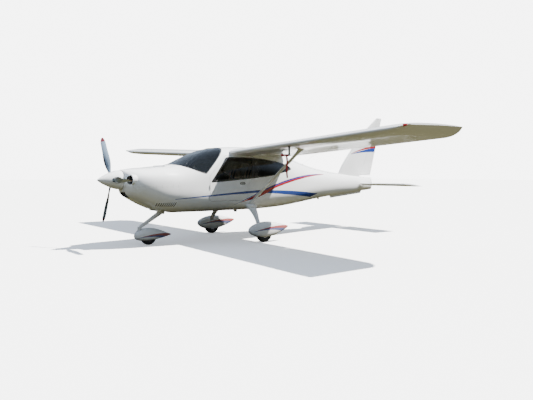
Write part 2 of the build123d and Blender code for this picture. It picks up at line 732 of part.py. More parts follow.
FLAP_FROM, FLAP_TO = along(FLAP_FROM_Y), along(FLAP_TO_Y)
ARM_FROM = FLAP_TO + END_GAP
ARM_TO = ARM_FROM + HINGE_ARM_T
AILERON_FROM, AILERON_TO = ARM_TO + END_GAP, along(AILERON_TO_Y)
BAY_FROM, BAY_TO = FLAP_FROM - END_GAP, AILERON_TO + END_GAP
ARM_HALF = 14.0
with BuildPart() as wing_left:
    add(wing_blank.part)
    add(wing_tip.part)
    add(wing_box(HINGE_X, WING_CHORD + 50, BAY_FROM, BAY_TO), mode=Mode.SUBTRACT)
    add(hinge_rod(SURFACE_R + SURFACE_GAP, BAY_FROM, BAY_TO), mode=Mode.SUBTRACT)
    arm_low, arm_high = HINGE_HIGH - ARM_HALF, HINGE_HIGH + ARM_HALF
    add(wing_box(HINGE_X - 2 * SURFACE_R, HINGE_X, ARM_FROM, ARM_TO, arm_low, arm_high))
    add(hinge_rod(ARM_HALF, ARM_FROM, ARM_TO))
    add(hinge_rod(SURFACE_PIN_R, BAY_FROM - 1, FLAP_FROM + PIN_DEPTH))
    add(hinge_rod(SURFACE_PIN_R, FLAP_TO - PIN_DEPTH, AILERON_FROM + PIN_DEPTH))
    add(hinge_rod(SURFACE_PIN_R, AILERON_TO - PIN_DEPTH, BAY_TO + 1))
    with BuildSketch(Plane.XY.offset(TIE_DOWN_Z)):
        with Locations((x_at(TIE_DOWN_S), TIE_DOWN_Y)):
            Circle(TIE_DOWN_PAD_R)
    extrude(amount=TIE_DOWN_DEPTH)
    with BuildSketch(Plane.XY.offset(TIE_DOWN_Z)):
        with Locations((x_at(TIE_DOWN_S), TIE_DOWN_Y)):
            Circle(TIE_DOWN_R)
    extrude(amount=TIE_DOWN_DEPTH - 5, mode=Mode.SUBTRACT)
    add(body_seat, mode=Mode.SUBTRACT)
wing_panel = wing_left.part.solids().sort_by(SortBy.VOLUME)[-1]
with BuildPart() as wings:
    add(wing_panel)
    mirror(wing_panel, about=MIRROR_PLANE)
keep(wings.part, "wings")


def control_surface(from_d, to_d):
    """The wing's section aft of the hinge line, with a round nose about that line."""
    with BuildPart() as surface:
        add(wing_blank.part)
        add(wing_box(HINGE_X, WING_CHORD + 50, from_d, to_d), mode=Mode.INTERSECT)
        add(hinge_rod(SURFACE_R - 0.2, from_d, to_d))
        for start in (from_d, to_d - PIN_DEPTH - 2):
            add(hinge_rod(SURFACE_PIN_R + PIN_FIT, start, start + PIN_DEPTH + 2), mode=Mode.SUBTRACT)
    return surface.part


for name, (from_d, to_d) in {
    "flap": (FLAP_FROM, FLAP_TO),
    "aileron": (AILERON_FROM, AILERON_TO),
}.items():
    left_surface = control_surface(from_d, to_d)
    keep(left_surface, f"{name}_left")
    with BuildPart() as right_surface:
        mirror(left_surface, about=MIRROR_PLANE)
    keep(right_surface.part, f"{name}_right")

# ---------------------------------------------------------------- lift struts
strut_low = Vector(x_at(STRUT_S), STRUT_LOW_Y, STRUT_LOW_Z)
strut_high = Vector(x_at(STRUT_S), STRUT_HIGH_Y, STRUT_HIGH_Z)
with BuildPart() as strut:
    with BuildSketch(Plane(origin=strut_low, x_dir=(1, 0, 0), z_dir=strut_high - strut_low)):
        Ellipse(STRUT_CHORD / 2, STRUT_THICK / 2)
    extrude(amount=(strut_high - strut_low).length)
    add(body_seat, mode=Mode.SUBTRACT)
    add(wing_blank.part, mode=Mode.SUBTRACT)
strut_bar = strut.part.solids().sort_by(SortBy.VOLUME)[-1]
with BuildPart() as lift_struts:
    add(strut_bar)
    mirror(strut_bar, about=MIRROR_PLANE)
keep(lift_struts.part, "lift_struts")

# ---------------------------------------------------------------- fin and rudder
FIN_LE = [(1130.0, 5500.0), (1330.0, 5560.0), (1620.0, 5770.0), (2000.0, 6110.0), (2350.0, 6490.0)]
FIN_TOP_LE_S = 6790.0
TE_FOOT_S = 6580.0


def te_station(height):
    """Station of the rudder's trailing edge at a height."""
    return TE_FOOT_S + (LENGTH - TE_FOOT_S) * (height - RUDDER_FOOT_Z) / (TAIL_TOP_Z - RUDDER_FOOT_Z)


def fin_section(height, le_s, thick):
    """A level section of the fin and rudder together."""
    frame = Plane(origin=(x_at(le_s), 0, height), x_dir=(-1, 0, 0), z_dir=(0, 0, 1))
    return wing_section(frame, (0, 0), te_station(height) - le_s, 0, thick, 0, steps=8)


FIN_STATIONS = FIN_LE + [(TAIL_TOP_Z, FIN_TOP_LE_S)]
with BuildPart() as fin_blank:
    for height, le_s in FIN_STATIONS:
        add(fin_section(height, le_s, FIN_THICK))
    loft()


def fin_half(height, station, le_s):
    """Half thickness of the fin's section at a station."""
    chord = te_station(height) - le_s
    x = (station - le_s) / chord
    return airfoil(x, FIN_THICK, 0, chord)[0] + TE_THICK / 2 * x


LOW_HALF = fin_half(RUDDER_FOOT_Z, RUDDER_FOOT_S, 5530.0)
HIGH_HALF = fin_half(TAIL_TOP_Z, RUDDER_HEAD_S, FIN_TOP_LE_S)


def rudder_post(grow, from_d=0.0, to_d=RUDDER_SPAN):
    """A tapered round bar on the rudder's hinge line."""
    with BuildPart() as post:
        for d in (from_d, to_d):
            share = d / RUDDER_SPAN
            with BuildSketch(RUDDER_FRAME.offset(d)):
                Circle(LOW_HALF + (HIGH_HALF - LOW_HALF) * share + grow)
        loft()
    return post.part


def aft_of_hinge(grow):
    """Everything aft of the rudder's hinge line, above its foot."""
    with BuildPart() as region:
        with BuildSketch(Plane.XZ.offset(-BIG)):
            foot_s = RUDDER_FOOT_S
            with BuildLine():
                Polyline(
                    (x_at(foot_s), RUDDER_FOOT_Z + grow),
                    (x_at(foot_s + 900), RUDDER_FOOT_Z + grow),
                    (x_at(foot_s + 900), TAIL_TOP_Z + 100),
                    (x_at(RUDDER_HEAD_S) - 100 * RUDDER_AXIS.X / -RUDDER_AXIS.Z, TAIL_TOP_Z + 100),
                    close=True,
                )
            make_face()
        extrude(amount=2 * BIG)
    return region.part


with BuildPart() as fin:
    add(fin_blank.part)
    add(aft_of_hinge(-100.0), mode=Mode.SUBTRACT)
    add(rudder_post(RUDDER_GAP, -100.0, RUDDER_SPAN + 60), mode=Mode.SUBTRACT)
    add(body_seat, mode=Mode.SUBTRACT)
fin_panel = fin.part.solids().sort_by(SortBy.VOLUME)[-1]
keep(Part() + fin_panel, "fin")
with BuildPart() as rudder:
    add(fin_blank.part)
    add(aft_of_hinge(0.0), mode=Mode.INTERSECT)
    add(rudder_post(-0.2, RUDDER_START, RUDDER_SPAN - 8))
    add(rudder_rod(RUDDER_PIN_R + PIN_FIT, 0, RUDDER_START + PIN_DEPTH + 2), mode=Mode.SUBTRACT)
keep(rudder.part, "rudder")

# ---------------------------------------------------------------- stabilator and its tab
DROOP = radians(STAB_DROOP)
STAB_FRAME = Plane(
    origin=(x_at(STAB_HINGE_S), 0, STAB_Z),
    x_dir=(-cos(DROOP), 0, -sin(DROOP)),
    z_dir=(0, 1, 0),
)
STAB_NOSE = STAB_LE_S - STAB_HINGE_S


def stab_section(y, sweep=0.0, thick=STAB_THICK):
    """The stabilator's section at a distance from the plane of symmetry."""
    nose = (STAB_NOSE + sweep, 0)
    return wing_section(STAB_FRAME.offset(y), nose, STAB_CHORD - sweep, 0, thick, 0, steps=8)


TAB_X = STAB_NOSE + STAB_CHORD - TAB_CHORD
TAB_SHARE = 1 - TAB_CHORD / STAB_CHORD
tab_half = airfoil(TAB_SHARE, STAB_THICK, 0, STAB_CHORD)[0] + TE_THICK / 2 * TAB_SHARE


def stab_box(from_x, to_x, from_y, to_y):
    """A block in the stabilator's own frame."""
    with BuildPart() as block:
        with BuildSketch(STAB_FRAME.offset(from_y)):
            with Locations(((from_x + to_x) / 2, 0)):
                Rectangle(to_x - from_x, 400)
        extrude(amount=to_y - from_y)
    return block.part


def tab_rod(radius, from_y, to_y):
    """A round bar on the tab's hinge line."""
    with BuildPart() as rod:
        with BuildSketch(STAB_FRAME.offset(from_y)):
            with Locations((TAB_X, 0)):
                Circle(radius)
        extrude(amount=to_y - from_y)
    return rod.part


with BuildPart() as stab_blank:
    add(stab_section(STAB_ROOT_Y))
    add(stab_section(STAB_SPAN / 2 - 60))
    loft(ruled=True)
    add(stab_section(STAB_SPAN / 2 - 60))
    add(stab_section(STAB_SPAN / 2, 26, 0.03))
    loft(ruled=True)
with BuildPart() as stab_panel:
    add(stab_blank.part)
    add(stab_box(TAB_X, TAB_X + 300, TAB_FROM_Y - TAB_GAP, TAB_TO_Y + TAB_GAP), mode=Mode.SUBTRACT)
    add(tab_rod(tab_half + TAB_GAP, TAB_FROM_Y - TAB_GAP, TAB_TO_Y + TAB_GAP), mode=Mode.SUBTRACT)
    add(tab_rod(TAB_PIN_R, TAB_FROM_Y - TAB_GAP - 1, TAB_FROM_Y + PIN_DEPTH))
    add(tab_rod(TAB_PIN_R, TAB_TO_Y - PIN_DEPTH, TAB_TO_Y + TAB_GAP + 1))
with BuildPart() as stabilator:
    add(stab_panel.part)
    mirror(stab_panel.part, about=MIRROR_PLANE)
    tube_end = STAB_ROOT_Y + STAB_TUBE_INTO
    with BuildSketch(Plane(origin=(x_at(STAB_HINGE_S), -tube_end, STAB_Z), z_dir=(0, 1, 0))):
        Circle(STAB_TUBE_R)
    extrude(amount=2 * tube_end)
keep(stabilator.part, "stabilator")
with BuildPart() as tab_left:
    add(stab_blank.part)
    add(stab_box(TAB_X, TAB_X + 300, TAB_FROM_Y, TAB_TO_Y), mode=Mode.INTERSECT)
    add(tab_rod(tab_half - 0.2, TAB_FROM_Y, TAB_TO_Y))
    for start in (TAB_FROM_Y, TAB_TO_Y - PIN_DEPTH - 2):
        add(tab_rod(TAB_PIN_R + PIN_FIT, start, start + PIN_DEPTH + 2), mode=Mode.SUBTRACT)
with BuildPart() as anti_servo_tab:
    add(tab_left.part)
    mirror(tab_left.part, about=MIRROR_PLANE)
keep(anti_servo_tab.part, "anti_servo_tab")

# ---------------------------------------------------------------- wheels
def axle_plane(station, y, height, outward=1):
    """A plane square to an axle, facing outwards."""
    return Plane(origin=(x_at(station), y, height), x_dir=(1, 0, 0), z_dir=(0, outward, 0))


def tyre_solid(station, y, radius, rim_radius):
    """A tyre, round-shouldered, standing on the ground."""
    half = TYRE_WIDTH / 2
    with BuildPart() as tyre:
        with BuildSketch(Plane(origin=(x_at(station), y, radius), x_dir=(0, 1, 0), z_dir=(1, 0, 0))):
            with BuildLine():
                Polyline((-RIM_WIDTH / 2, rim_radius), (RIM_WIDTH / 2, rim_radius))
                Spline(
                    (RIM_WIDTH / 2, rim_radius),
                    (half, rim_radius + (radius - rim_radius) * 0.52),
                    (half * 0.62, radius - 5),
                    (0, radius),
                    (-half * 0.62, radius - 5),
                    (-half, rim_radius + (radius - rim_radius) * 0.52),
                    (-RIM_WIDTH / 2, rim_radius),
                )
            make_face()
        revolve(axis=Axis((x_at(station), y, radius), (0, 1, 0)))
    return tyre.part


def rim_solid(station, y, radius, rim_radius):
    """A rim with its disc and its hub, bored for the axle."""
    half = RIM_WIDTH / 2
    with BuildPart() as rim:
        with BuildSketch(Plane(origin=(x_at(station), y, radius), x_dir=(0, 1, 0), z_dir=(1, 0, 0))):
            with BuildLine():
                Polyline(
                    (-half, AXLE_R + PIN_FIT),
                    (half, AXLE_R + PIN_FIT),
                    (half, 28),
                    (14, 32),
                    (14, rim_radius - 12),
                    (half, rim_radius - 8),
                    (half, rim_radius),
                    (-half, rim_radius),
                    (-half, rim_radius - 8),
                    (-14, rim_radius - 12),
                    (-14, 32),
                    (-half, 28),
                    close=True,
                )
            make_face()
        revolve(axis=Axis((x_at(station), y, radius), (0, 1, 0)))
    return rim.part


# ---------------------------------------------------------------- main legs, axles and fairings
LEG_STATIONS = [
    (390.0, 700.0, 2728.0, 240.0, 46.0),
    (560.0, 605.0, 2716.0, 194.0, 42.0),
    (700.0, 488.0, 2698.0, 124.0, 34.0),
    (815.0, 345.0, 2676.0, 88.0, 28.0),
    (846.0, 165.0, MAIN_S - 14, 80.0, 22.0),
]


def leg_solid(grow):
    """One main leg: a faired spring blade that sweeps out and down to the axle."""
    with BuildPart() as leg:
        for i, (y, z, s, chord, thick) in enumerate(LEG_STATIONS):
            before = LEG_STATIONS[max(0, i - 1)]
            after = LEG_STATIONS[min(len(LEG_STATIONS) - 1, i + 1)]
            direction = (0, after[0] - before[0], after[1] - before[1])
            with BuildSketch(Plane(origin=(x_at(s), y, z), x_dir=(1, 0, 0), z_dir=direction)):
                Ellipse(chord / 2 + grow, thick / 2 + grow)
        loft()
    return leg.part


with BuildPart() as leg:
    add(leg_solid(0.0))
    add(body_seat, mode=Mode.SUBTRACT)
leg_blade = leg.part.solids().sort_by(SortBy.VOLUME)[-1]
with BuildPart() as main_legs:
    add(leg_blade)
    mirror(leg_blade, about=MIRROR_PLANE)
keep(main_legs.part, "main_legs")

AXLE_INNER_Y = LEG_STATIONS[-1][0] + LEG_STATIONS[-1][4] / 2
AXLE_END_Y = TRACK / 2 + RIM_WIDTH / 2 + 3
AXLE_NUT_Y = AXLE_END_Y + 10
with BuildPart() as axle:
    with BuildSketch(axle_plane(MAIN_S, AXLE_INNER_Y - 2, MAIN_TYRE_R)):
        Circle(AXLE_R)
    extrude(amount=AXLE_END_Y - AXLE_INNER_Y + 2)
    with BuildSketch(axle_plane(MAIN_S, AXLE_END_Y, MAIN_TYRE_R)):
        RegularPolygon(AXLE_R + 8, 6)
    extrude(amount=AXLE_NUT_Y - AXLE_END_Y)
    add(leg_blade, mode=Mode.SUBTRACT)
with BuildPart() as main_axles:
    add(axle.part)
    mirror(axle.part, about=MIRROR_PLANE)
keep(main_axles.part, "main_axles")

for side, word in ((1, "left"), (-1, "right")):
    y = side * TRACK / 2
    keep(tyre_solid(MAIN_S, y, MAIN_TYRE_R, RIM_R), f"main_tyre_{word}")
    keep(rim_solid(MAIN_S, y, MAIN_TYRE_R, RIM_R), f"main_rim_{word}")


def pant_solid(stations, y, inset):
    """A teardrop wheel fairing from its (station, half width, middle, half height) sections."""
    with BuildPart() as pant:
        for s, half, middle, rise in stations:
            sec = Section(s, half, middle - rise, middle, middle + rise, PANT_LOW_N, PANT_HIGH_N)
            add(Pos(0, y, 0) * body_face(sec, inset))
        loft()
    return pant.part


PANT_SKIN = 5.0
PANT_LOW_N = 3.0
PANT_HIGH_N = 2.2
WELL_MARGIN = 2.0
WELL_HALF = 62.0
PANT_REACH = 70.0
SEAT_R = 20.0
MAIN_PANT = [
    (2392, 12, 236, 14),
    (2440, 56, 232, 66),
    (2540, 86, 230, 112),
    (2700, 98, 232, 142),
    (2860, 94, 236, 134),
    (3040, 66, 244, 96),
    (3200, 32, 254, 48),
    (3290, 8, 262, 10),
]
NOSE_PANT = [
    (640, 14, 158, 14),
    (676, 76, 172, 70),
    (752, 100, 183, 102),
    (880, 108, 187, 112),
    (1010, 94, 185, 98),
    (1150, 60, 174, 64),
    (1260, 30, 163, 30),
    (1328, 8, 158, 8),
]


def pant_shell(stations, y, wheel_s, wheel_r, axle_ends, bore):
    """A hollow fairing, open below for the tyre, with a bored seat at each axle end inside it."""
    with BuildPart() as shell:
        add(pant_solid(stations, y, 0.0))
        add(pant_solid(stations[1:-1], y, PANT_SKIN), mode=Mode.SUBTRACT)
        well = slab(
            wheel_s - wheel_r + WELL_MARGIN, wheel_s + wheel_r - WELL_MARGIN,
            -10, wheel_r, y - WELL_HALF, y + WELL_HALF,
        )
        add(well, mode=Mode.SUBTRACT)
    with BuildPart() as seats:
        for end_y, outward in axle_ends:
            with BuildSketch(axle_plane(wheel_s, end_y + outward * FIT_GAP, wheel_r, outward)):
                Circle(SEAT_R)
            extrude(amount=PANT_REACH)
        add(pant_solid(stations, y, 1.0), mode=Mode.INTERSECT)
    with BuildPart() as whole:
        add(shell.part)
        add(seats.part)
        for end_y, outward in axle_ends:
            with BuildSketch(axle_plane(wheel_s, end_y, wheel_r, outward)):
                Circle(bore)
            extrude(amount=PANT_REACH, mode=Mode.SUBTRACT)
    return whole.part


pant_left = pant_shell(MAIN_PANT, TRACK / 2, MAIN_S, MAIN_TYRE_R, [(AXLE_NUT_Y, 1)], 4.0)
with BuildPart() as main_pant_left:
    add(pant_left)
    add(leg_solid(FIT_GAP), mode=Mode.SUBTRACT)
pant_body = main_pant_left.part.solids().sort_by(SortBy.VOLUME)[-1]
with BuildPart() as main_pants:
    add(pant_body)
    mirror(pant_body, about=MIRROR_PLANE)
keep(main_pants.part, "main_pants")

# ---------------------------------------------------------------- nose gear
with BuildPart() as nose_leg:
    add(nose_blade(0.0))
    with BuildSketch(Plane(origin=(x_at(PIVOT_S), 0, BOSS_LOW_Z))):
        Circle(BOSS_R)
    extrude(amount=BOSS_HEIGHT)
    with BuildSketch(Plane(origin=(x_at(PIVOT_S), 0, BOSS_LOW_Z))):
        Circle(PIVOT_R + PIN_FIT)
    extrude(amount=BOSS_HEIGHT - CROWN_T, mode=Mode.SUBTRACT)
    add(slab(NOSE_LEG_HEAD[0] - 50, COWL_END_S - FIREWALL_T, LEG_BLOCK_LOW_Z, LEG_BLOCK_HIGH_Z, -30, 30))
keep(nose_leg.part, "nose_leg")

CROWN_TOP_Z = BOSS_LOW_Z - FIT_GAP
with BuildPart() as nose_fork:
    with BuildSketch(Plane(origin=(x_at(PIVOT_S), 0, CROWN_TOP_Z))):
        Circle(PIVOT_R)
    extrude(amount=BOSS_HEIGHT - CROWN_T - 4)
    far_y = FORK_HALF + FORK_T
    add(slab(PIVOT_S - CROWN_HALF, PIVOT_S + CROWN_HALF, CROWN_TOP_Z - CROWN_T, CROWN_TOP_Z, -far_y, far_y))
    for near, far in ((FORK_HALF, far_y), (-far_y, -FORK_HALF)):
        arm = [
            (PIVOT_S - CROWN_HALF, CROWN_TOP_Z),
            (PIVOT_S + CROWN_HALF, CROWN_TOP_Z),
            (NOSE_S + 22, NOSE_TYRE_R + 18),
            (NOSE_S + 22, NOSE_TYRE_R - 22),
            (NOSE_S - 20, NOSE_TYRE_R - 22),
            (PIVOT_S - CROWN_HALF, CROWN_TOP_Z - CROWN_T - 12),
        ]
        add(side_prism(arm, 6, 0, near, far))
    with BuildSketch(Plane.XZ.offset(-BIG)):
        with Locations((x_at(NOSE_S), NOSE_TYRE_R)):
            Circle(AXLE_R + PIN_FIT)
    extrude(amount=2 * BIG, mode=Mode.SUBTRACT)
keep(nose_fork.part, "nose_fork")

NOSE_AXLE_END_Y = FORK_HALF + FORK_T + 4.0
with BuildPart() as nose_axle:
    with BuildSketch(axle_plane(NOSE_S, -NOSE_AXLE_END_Y, NOSE_TYRE_R)):
        Circle(AXLE_R)
        Circle(TOWBAR_R, mode=Mode.SUBTRACT)
    extrude(amount=2 * NOSE_AXLE_END_Y)
keep(nose_axle.part, "nose_axle")
keep(tyre_solid(NOSE_S, 0, NOSE_TYRE_R, NOSE_RIM_R), "nose_tyre")
keep(rim_solid(NOSE_S, 0, NOSE_TYRE_R, NOSE_RIM_R), "nose_rim")
with BuildPart() as nose_pant:
    add(
        pant_shell(
            NOSE_PANT, 0, NOSE_S, NOSE_TYRE_R, [(NOSE_AXLE_END_Y, 1), (-NOSE_AXLE_END_Y, -1)], TOWBAR_R + 2
        )
    )
    with BuildSketch(Plane(origin=(x_at(PIVOT_S), 0, BOSS_LOW_Z))):
        Circle(PANT_HOLE_R)
    extrude(amount=200, mode=Mode.SUBTRACT)
pant_nose = nose_pant.part.solids().sort_by(SortBy.VOLUME)[-1]
keep(Part() + pant_nose, "nose_pant")

# ---------------------------------------------------------------- cabin fittings
FLOOR_Z = 640.0
FLOOR_T = 12.0
PANEL_S = 1640.0
PANEL_T = 30.0
PANEL_TOP_Z = 1232.0
PANEL_LOW_Z = 930.0
SEAT_Y = 268.0
SEAT_WIDTH = 440.0
SEAT_BOX_HALF = 174.0
CUSHION_FRONT_S = 2250.0
CUSHION_AFT_S = 2750.0
CUSHION_Z = 830.0


def across_cabin(from_s, to_s, from_z, to_z):
    """A board that fills the cabin from wall to wall."""
    with BuildPart() as board:
        add(body_length(CABIN_WALL + FIT_GAP, from_s, to_s))
        add(slab(from_s, to_s, from_z, to_z), mode=Mode.INTERSECT)
    return board.part


with BuildPart() as cabin_floor:
    add(across_cabin(COWL_END_S + 5, CABIN_END_S - 25, FLOOR_Z, FLOOR_Z + FLOOR_T))
    add(across_cabin(CABIN_END_S - 25, CABIN_END_S - 5, 0, 2000))
    for side in (1, -1):
        near, far = sorted((side * (SEAT_Y - SEAT_BOX_HALF), side * (SEAT_Y + SEAT_BOX_HALF)))
        add(slab(CUSHION_FRONT_S + 30, CUSHION_AFT_S - 30, FLOOR_Z, CUSHION_Z, near, far))
keep(cabin_floor.part, "cabin_floor")
with BuildPart() as instrument_panel:
    add(across_cabin(PANEL_S, PANEL_S + PANEL_T, PANEL_LOW_Z, PANEL_TOP_Z))
    add(across_cabin(COWL_END_S + 5, PANEL_S, PANEL_TOP_Z - 14, PANEL_TOP_Z))
keep(instrument_panel.part, "instrument_panel")

CUSHION_T = 110.0
BACK_LEAN = 15.0
BACK_LENGTH, BACK_T = 600.0, 95.0
with BuildPart() as seat_cushions:
    for side in (1, -1):
        with BuildSketch(Plane.XY.offset(CUSHION_Z)):
            with Locations((x_at((CUSHION_FRONT_S + CUSHION_AFT_S) / 2), side * SEAT_Y)):
                RectangleRounded(CUSHION_AFT_S - CUSHION_FRONT_S, SEAT_WIDTH, 50)
        extrude(amount=CUSHION_T)
keep(seat_cushions.part, "seat_cushions")
LEAN = radians(BACK_LEAN)
back_frame = Plane(
    origin=(x_at(CUSHION_AFT_S + FIT_GAP), 0, CUSHION_Z + 60),
    x_dir=(0, 1, 0),
    z_dir=(-cos(LEAN), 0, -sin(LEAN)),
)
with BuildPart() as seat_backs:
    for side in (1, -1):
        with BuildSketch(back_frame):
            with Locations((side * SEAT_Y, -BACK_LENGTH / 2)):
                RectangleRounded(SEAT_WIDTH, BACK_LENGTH, 60)
        extrude(amount=BACK_T)
keep(seat_backs.part, "seat_backs")
STICK_S = 2130.0
STICK_BASE = 90.0
STICK_BASE_T = 40.0
STICK_HEIGHT = 300.0
STICK_REACH = 205.0
GRIP_LENGTH = 160.0
STICK_FLOOR_Z = FLOOR_Z + FLOOR_T


def upright(y, from_z, height, radius):
    """A vertical bar at the stick's station."""
    with BuildPart() as bar:
        with BuildSketch(Plane(origin=(x_at(STICK_S), y, from_z))):
            Circle(radius)
        extrude(amount=height)
    return bar.part


with BuildPart() as control_stick:
    with BuildSketch(Plane(origin=(x_at(STICK_S), 0, STICK_FLOOR_Z))):
        Rectangle(STICK_BASE, STICK_BASE)
    extrude(amount=STICK_BASE_T)
    add(upright(0, STICK_FLOOR_Z + STICK_BASE_T, STICK_HEIGHT, 13))
    cross_z = STICK_FLOOR_Z + STICK_HEIGHT
    with BuildSketch(Plane(origin=(x_at(STICK_S), -STICK_REACH, cross_z), x_dir=(1, 0, 0), z_dir=(0, 1, 0))):
        Circle(11)
    extrude(amount=2 * STICK_REACH)
    for side in (1, -1):
        add(upright(side * STICK_REACH, cross_z - 15, GRIP_LENGTH, 14))
keep(control_stick.part, "control_stick")

# ---------------------------------------------------------------- pitot mast, its cover and the tip lights
PITOT_Y = 2140.0
PITOT_S = 2316.0
MAST_LOW_Z = 1532.0
TUBE_R = 9.0
TUBE_LENGTH = 150.0
with BuildPart() as pitot_mast:
    with BuildSketch(Plane.XY.offset(MAST_LOW_Z)):
        with Locations((x_at(PITOT_S), PITOT_Y)):
            Ellipse(20, 7)
    extrude(amount=220)
    add(wing_blank.part, mode=Mode.SUBTRACT)
    add(forward_disc(PITOT_Y, MAST_LOW_Z, TUBE_R, PITOT_S - TUBE_LENGTH, PITOT_S + 30))
mast = pitot_mast.part.solids().sort_by(Axis.Z)[0]
keep(Part() + mast, "pitot_mast")
COVER_R = 17.0
STREAMER_LENGTH = 345.0
STREAMER_WIDTH = 30.0
with BuildPart() as pitot_cover:
    add(forward_disc(PITOT_Y, MAST_LOW_Z, COVER_R, PITOT_S - TUBE_LENGTH - 12, PITOT_S - 26))
    tube_bore = forward_disc(
        PITOT_Y, MAST_LOW_Z, TUBE_R + FIT_GAP, PITOT_S - TUBE_LENGTH - FIT_GAP, PITOT_S
    )
    add(tube_bore, mode=Mode.SUBTRACT)
    with BuildSketch(Plane.XY.offset(MAST_LOW_Z - COVER_R - STREAMER_LENGTH)):
        with Locations((x_at(PITOT_S - 50), PITOT_Y)):
            Rectangle(STREAMER_WIDTH, 3)
    extrude(amount=STREAMER_LENGTH + 4)
keep(pitot_cover.part, "pitot_cover")
LIGHT_BACK_X = 34.0
LIGHT_HEIGHT = 20.0
LIGHT_R = 19.0
with BuildPart() as light:
    with BuildSketch(WING_FRAME.offset(PANEL_LENGTH - 78)):
        with Locations((LIGHT_BACK_X, LIGHT_HEIGHT)):
            Circle(LIGHT_R)
    extrude(amount=56, taper=10)
    add(wing_tip.part, mode=Mode.SUBTRACT)
lamp = light.part.solids().sort_by(SortBy.VOLUME)[-1]
with BuildPart() as tip_lights:
    add(lamp)
    mirror(lamp, about=MIRROR_PLANE)
keep(tip_lights.part, "tip_lights")
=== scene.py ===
# %% [markdown]
# # A two-seat high-wing light aircraft
#
# The solid model comes in already built and packed, as the frame: every panel, wheel and
# control surface is a mesh in its real place, in metres, with +X forward, +Y to the left
# and +Z up. This file dresses it. It makes the paint, glass, rubber and metal as
# materials, and then the pieces that are too fine for the solid model.
#
# %% Load the frame
from math import cos, pi, radians, sin
import bmesh
import bpy
import numpy as np
from mathutils import Matrix, Vector
from mathutils.bvhtree import BVHTree


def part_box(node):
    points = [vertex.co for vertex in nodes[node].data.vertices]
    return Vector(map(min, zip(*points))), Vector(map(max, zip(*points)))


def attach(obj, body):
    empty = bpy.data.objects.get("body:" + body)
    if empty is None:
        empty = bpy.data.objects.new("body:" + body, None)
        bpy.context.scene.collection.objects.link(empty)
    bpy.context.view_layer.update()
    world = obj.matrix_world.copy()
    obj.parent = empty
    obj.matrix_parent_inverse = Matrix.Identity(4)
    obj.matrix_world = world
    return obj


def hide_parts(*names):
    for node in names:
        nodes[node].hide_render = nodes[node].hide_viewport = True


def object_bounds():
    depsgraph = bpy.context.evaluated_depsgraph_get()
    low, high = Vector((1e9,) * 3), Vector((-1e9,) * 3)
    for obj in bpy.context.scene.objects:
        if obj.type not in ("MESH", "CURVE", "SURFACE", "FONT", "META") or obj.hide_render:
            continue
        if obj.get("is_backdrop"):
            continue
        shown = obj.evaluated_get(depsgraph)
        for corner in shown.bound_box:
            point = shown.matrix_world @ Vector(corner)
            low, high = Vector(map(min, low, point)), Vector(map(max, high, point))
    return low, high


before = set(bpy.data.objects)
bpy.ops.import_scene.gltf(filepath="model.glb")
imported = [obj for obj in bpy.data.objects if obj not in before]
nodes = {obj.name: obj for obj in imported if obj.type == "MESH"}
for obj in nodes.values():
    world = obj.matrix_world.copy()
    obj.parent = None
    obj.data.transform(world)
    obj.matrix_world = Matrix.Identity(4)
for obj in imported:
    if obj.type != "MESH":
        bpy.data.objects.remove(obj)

cad_low, cad_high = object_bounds()
print("frame", len(nodes), "nodes, box", [round(v, 3) for v in cad_high - cad_low])

# %% [markdown]
# ## Places on the aircraft
# Aircraft builders give lengthwise places as stations, measured aft from the spinner's
# tip. All places below are stations, so one small function turns them into X. The two
# sides are the same, so most pieces are made by a loop over both.

# %% Stations
NOSE_X = cad_high.x
SIDES = {"left": 1, "right": -1}
FORWARD, LEFT, UP = Vector((1, 0, 0)), Vector((0, 1, 0)), Vector((0, 0, 1))


def at(station, y, z):
    """A place from its station, its distance to the left and its height."""
    return Vector((NOSE_X - station, y, z))


def new_object(name, data):
    """An object for some data, linked into the scene."""
    thing = bpy.data.objects.new(name, data)
    bpy.context.scene.collection.objects.link(thing)
    return thing


# %% [markdown]
# ## Camera
# The camera stands ahead of the left wing tip at a tall person's eye height, a little
# under the wing. It is placed by its own axes, so the horizon stays level to a fraction
# of a degree. The lens is a normal one for the sensor, and depth of field stays off.

# %% Camera
camera = new_object("camera", bpy.data.cameras.new("camera"))
camera_axes = Matrix(((-0.7988, -0.0285, 0.6009), (0.6016, -0.0395, 0.7978), (0.0010, 0.9988, 0.0486)))
camera.matrix_world = Matrix.Translation(at(-2.906, 8.481, 1.227)) @ camera_axes.to_4x4()
camera.data.sensor_width = 36.0
camera.data.lens = 35.13
camera.data.clip_end = 400.0
bpy.context.scene.camera = camera
print("camera at", [round(v, 2) for v in camera.location])

# %% [markdown]
# ## Formulas made of shader nodes
# Light, paint and wear are all worked out by nodes, and a formula such as "the height
# above this line" is a chain of Math nodes. Wired one by one, such a chain is hard to
# read. So a socket is wrapped in a small class, called a flow. A sum, a product or a
# comparison of two flows adds the Math node and gives its output, and the code reads
# like the formula itself.


# %% Flows
def feed(socket, value):
    """Links a socket to a flow or to another socket, or sets its value."""
    value = getattr(value, "socket", value)
    if isinstance(value, bpy.types.NodeSocket):
        socket.id_data.links.new(value, socket)
    else:
        socket.default_value = value


def set_inputs(node, **values):
    """Feeds a node's inputs by name. An underscore stands for a space."""
    for title, value in values.items():
        feed(node.inputs[title.replace("_", " ")], value)


def add_node(tree, kind, settings=None, **values):
    """A node with its settings, and its inputs fed by name."""
    node = tree.nodes.new(kind)
    for title, value in (settings or {}).items():
        setattr(node, title, value)
    set_inputs(node, **values)
    return node


def maths(operation, *values):
    """A Math node over flows and numbers, in the tree of the first flow."""
    tree = next(value.tree for value in values if isinstance(value, Flow))
    node = add_node(tree, "ShaderNodeMath", {"operation": operation})
    for socket, value in zip(node.inputs, values):
        feed(socket, value)
    return Flow(node.outputs[0])


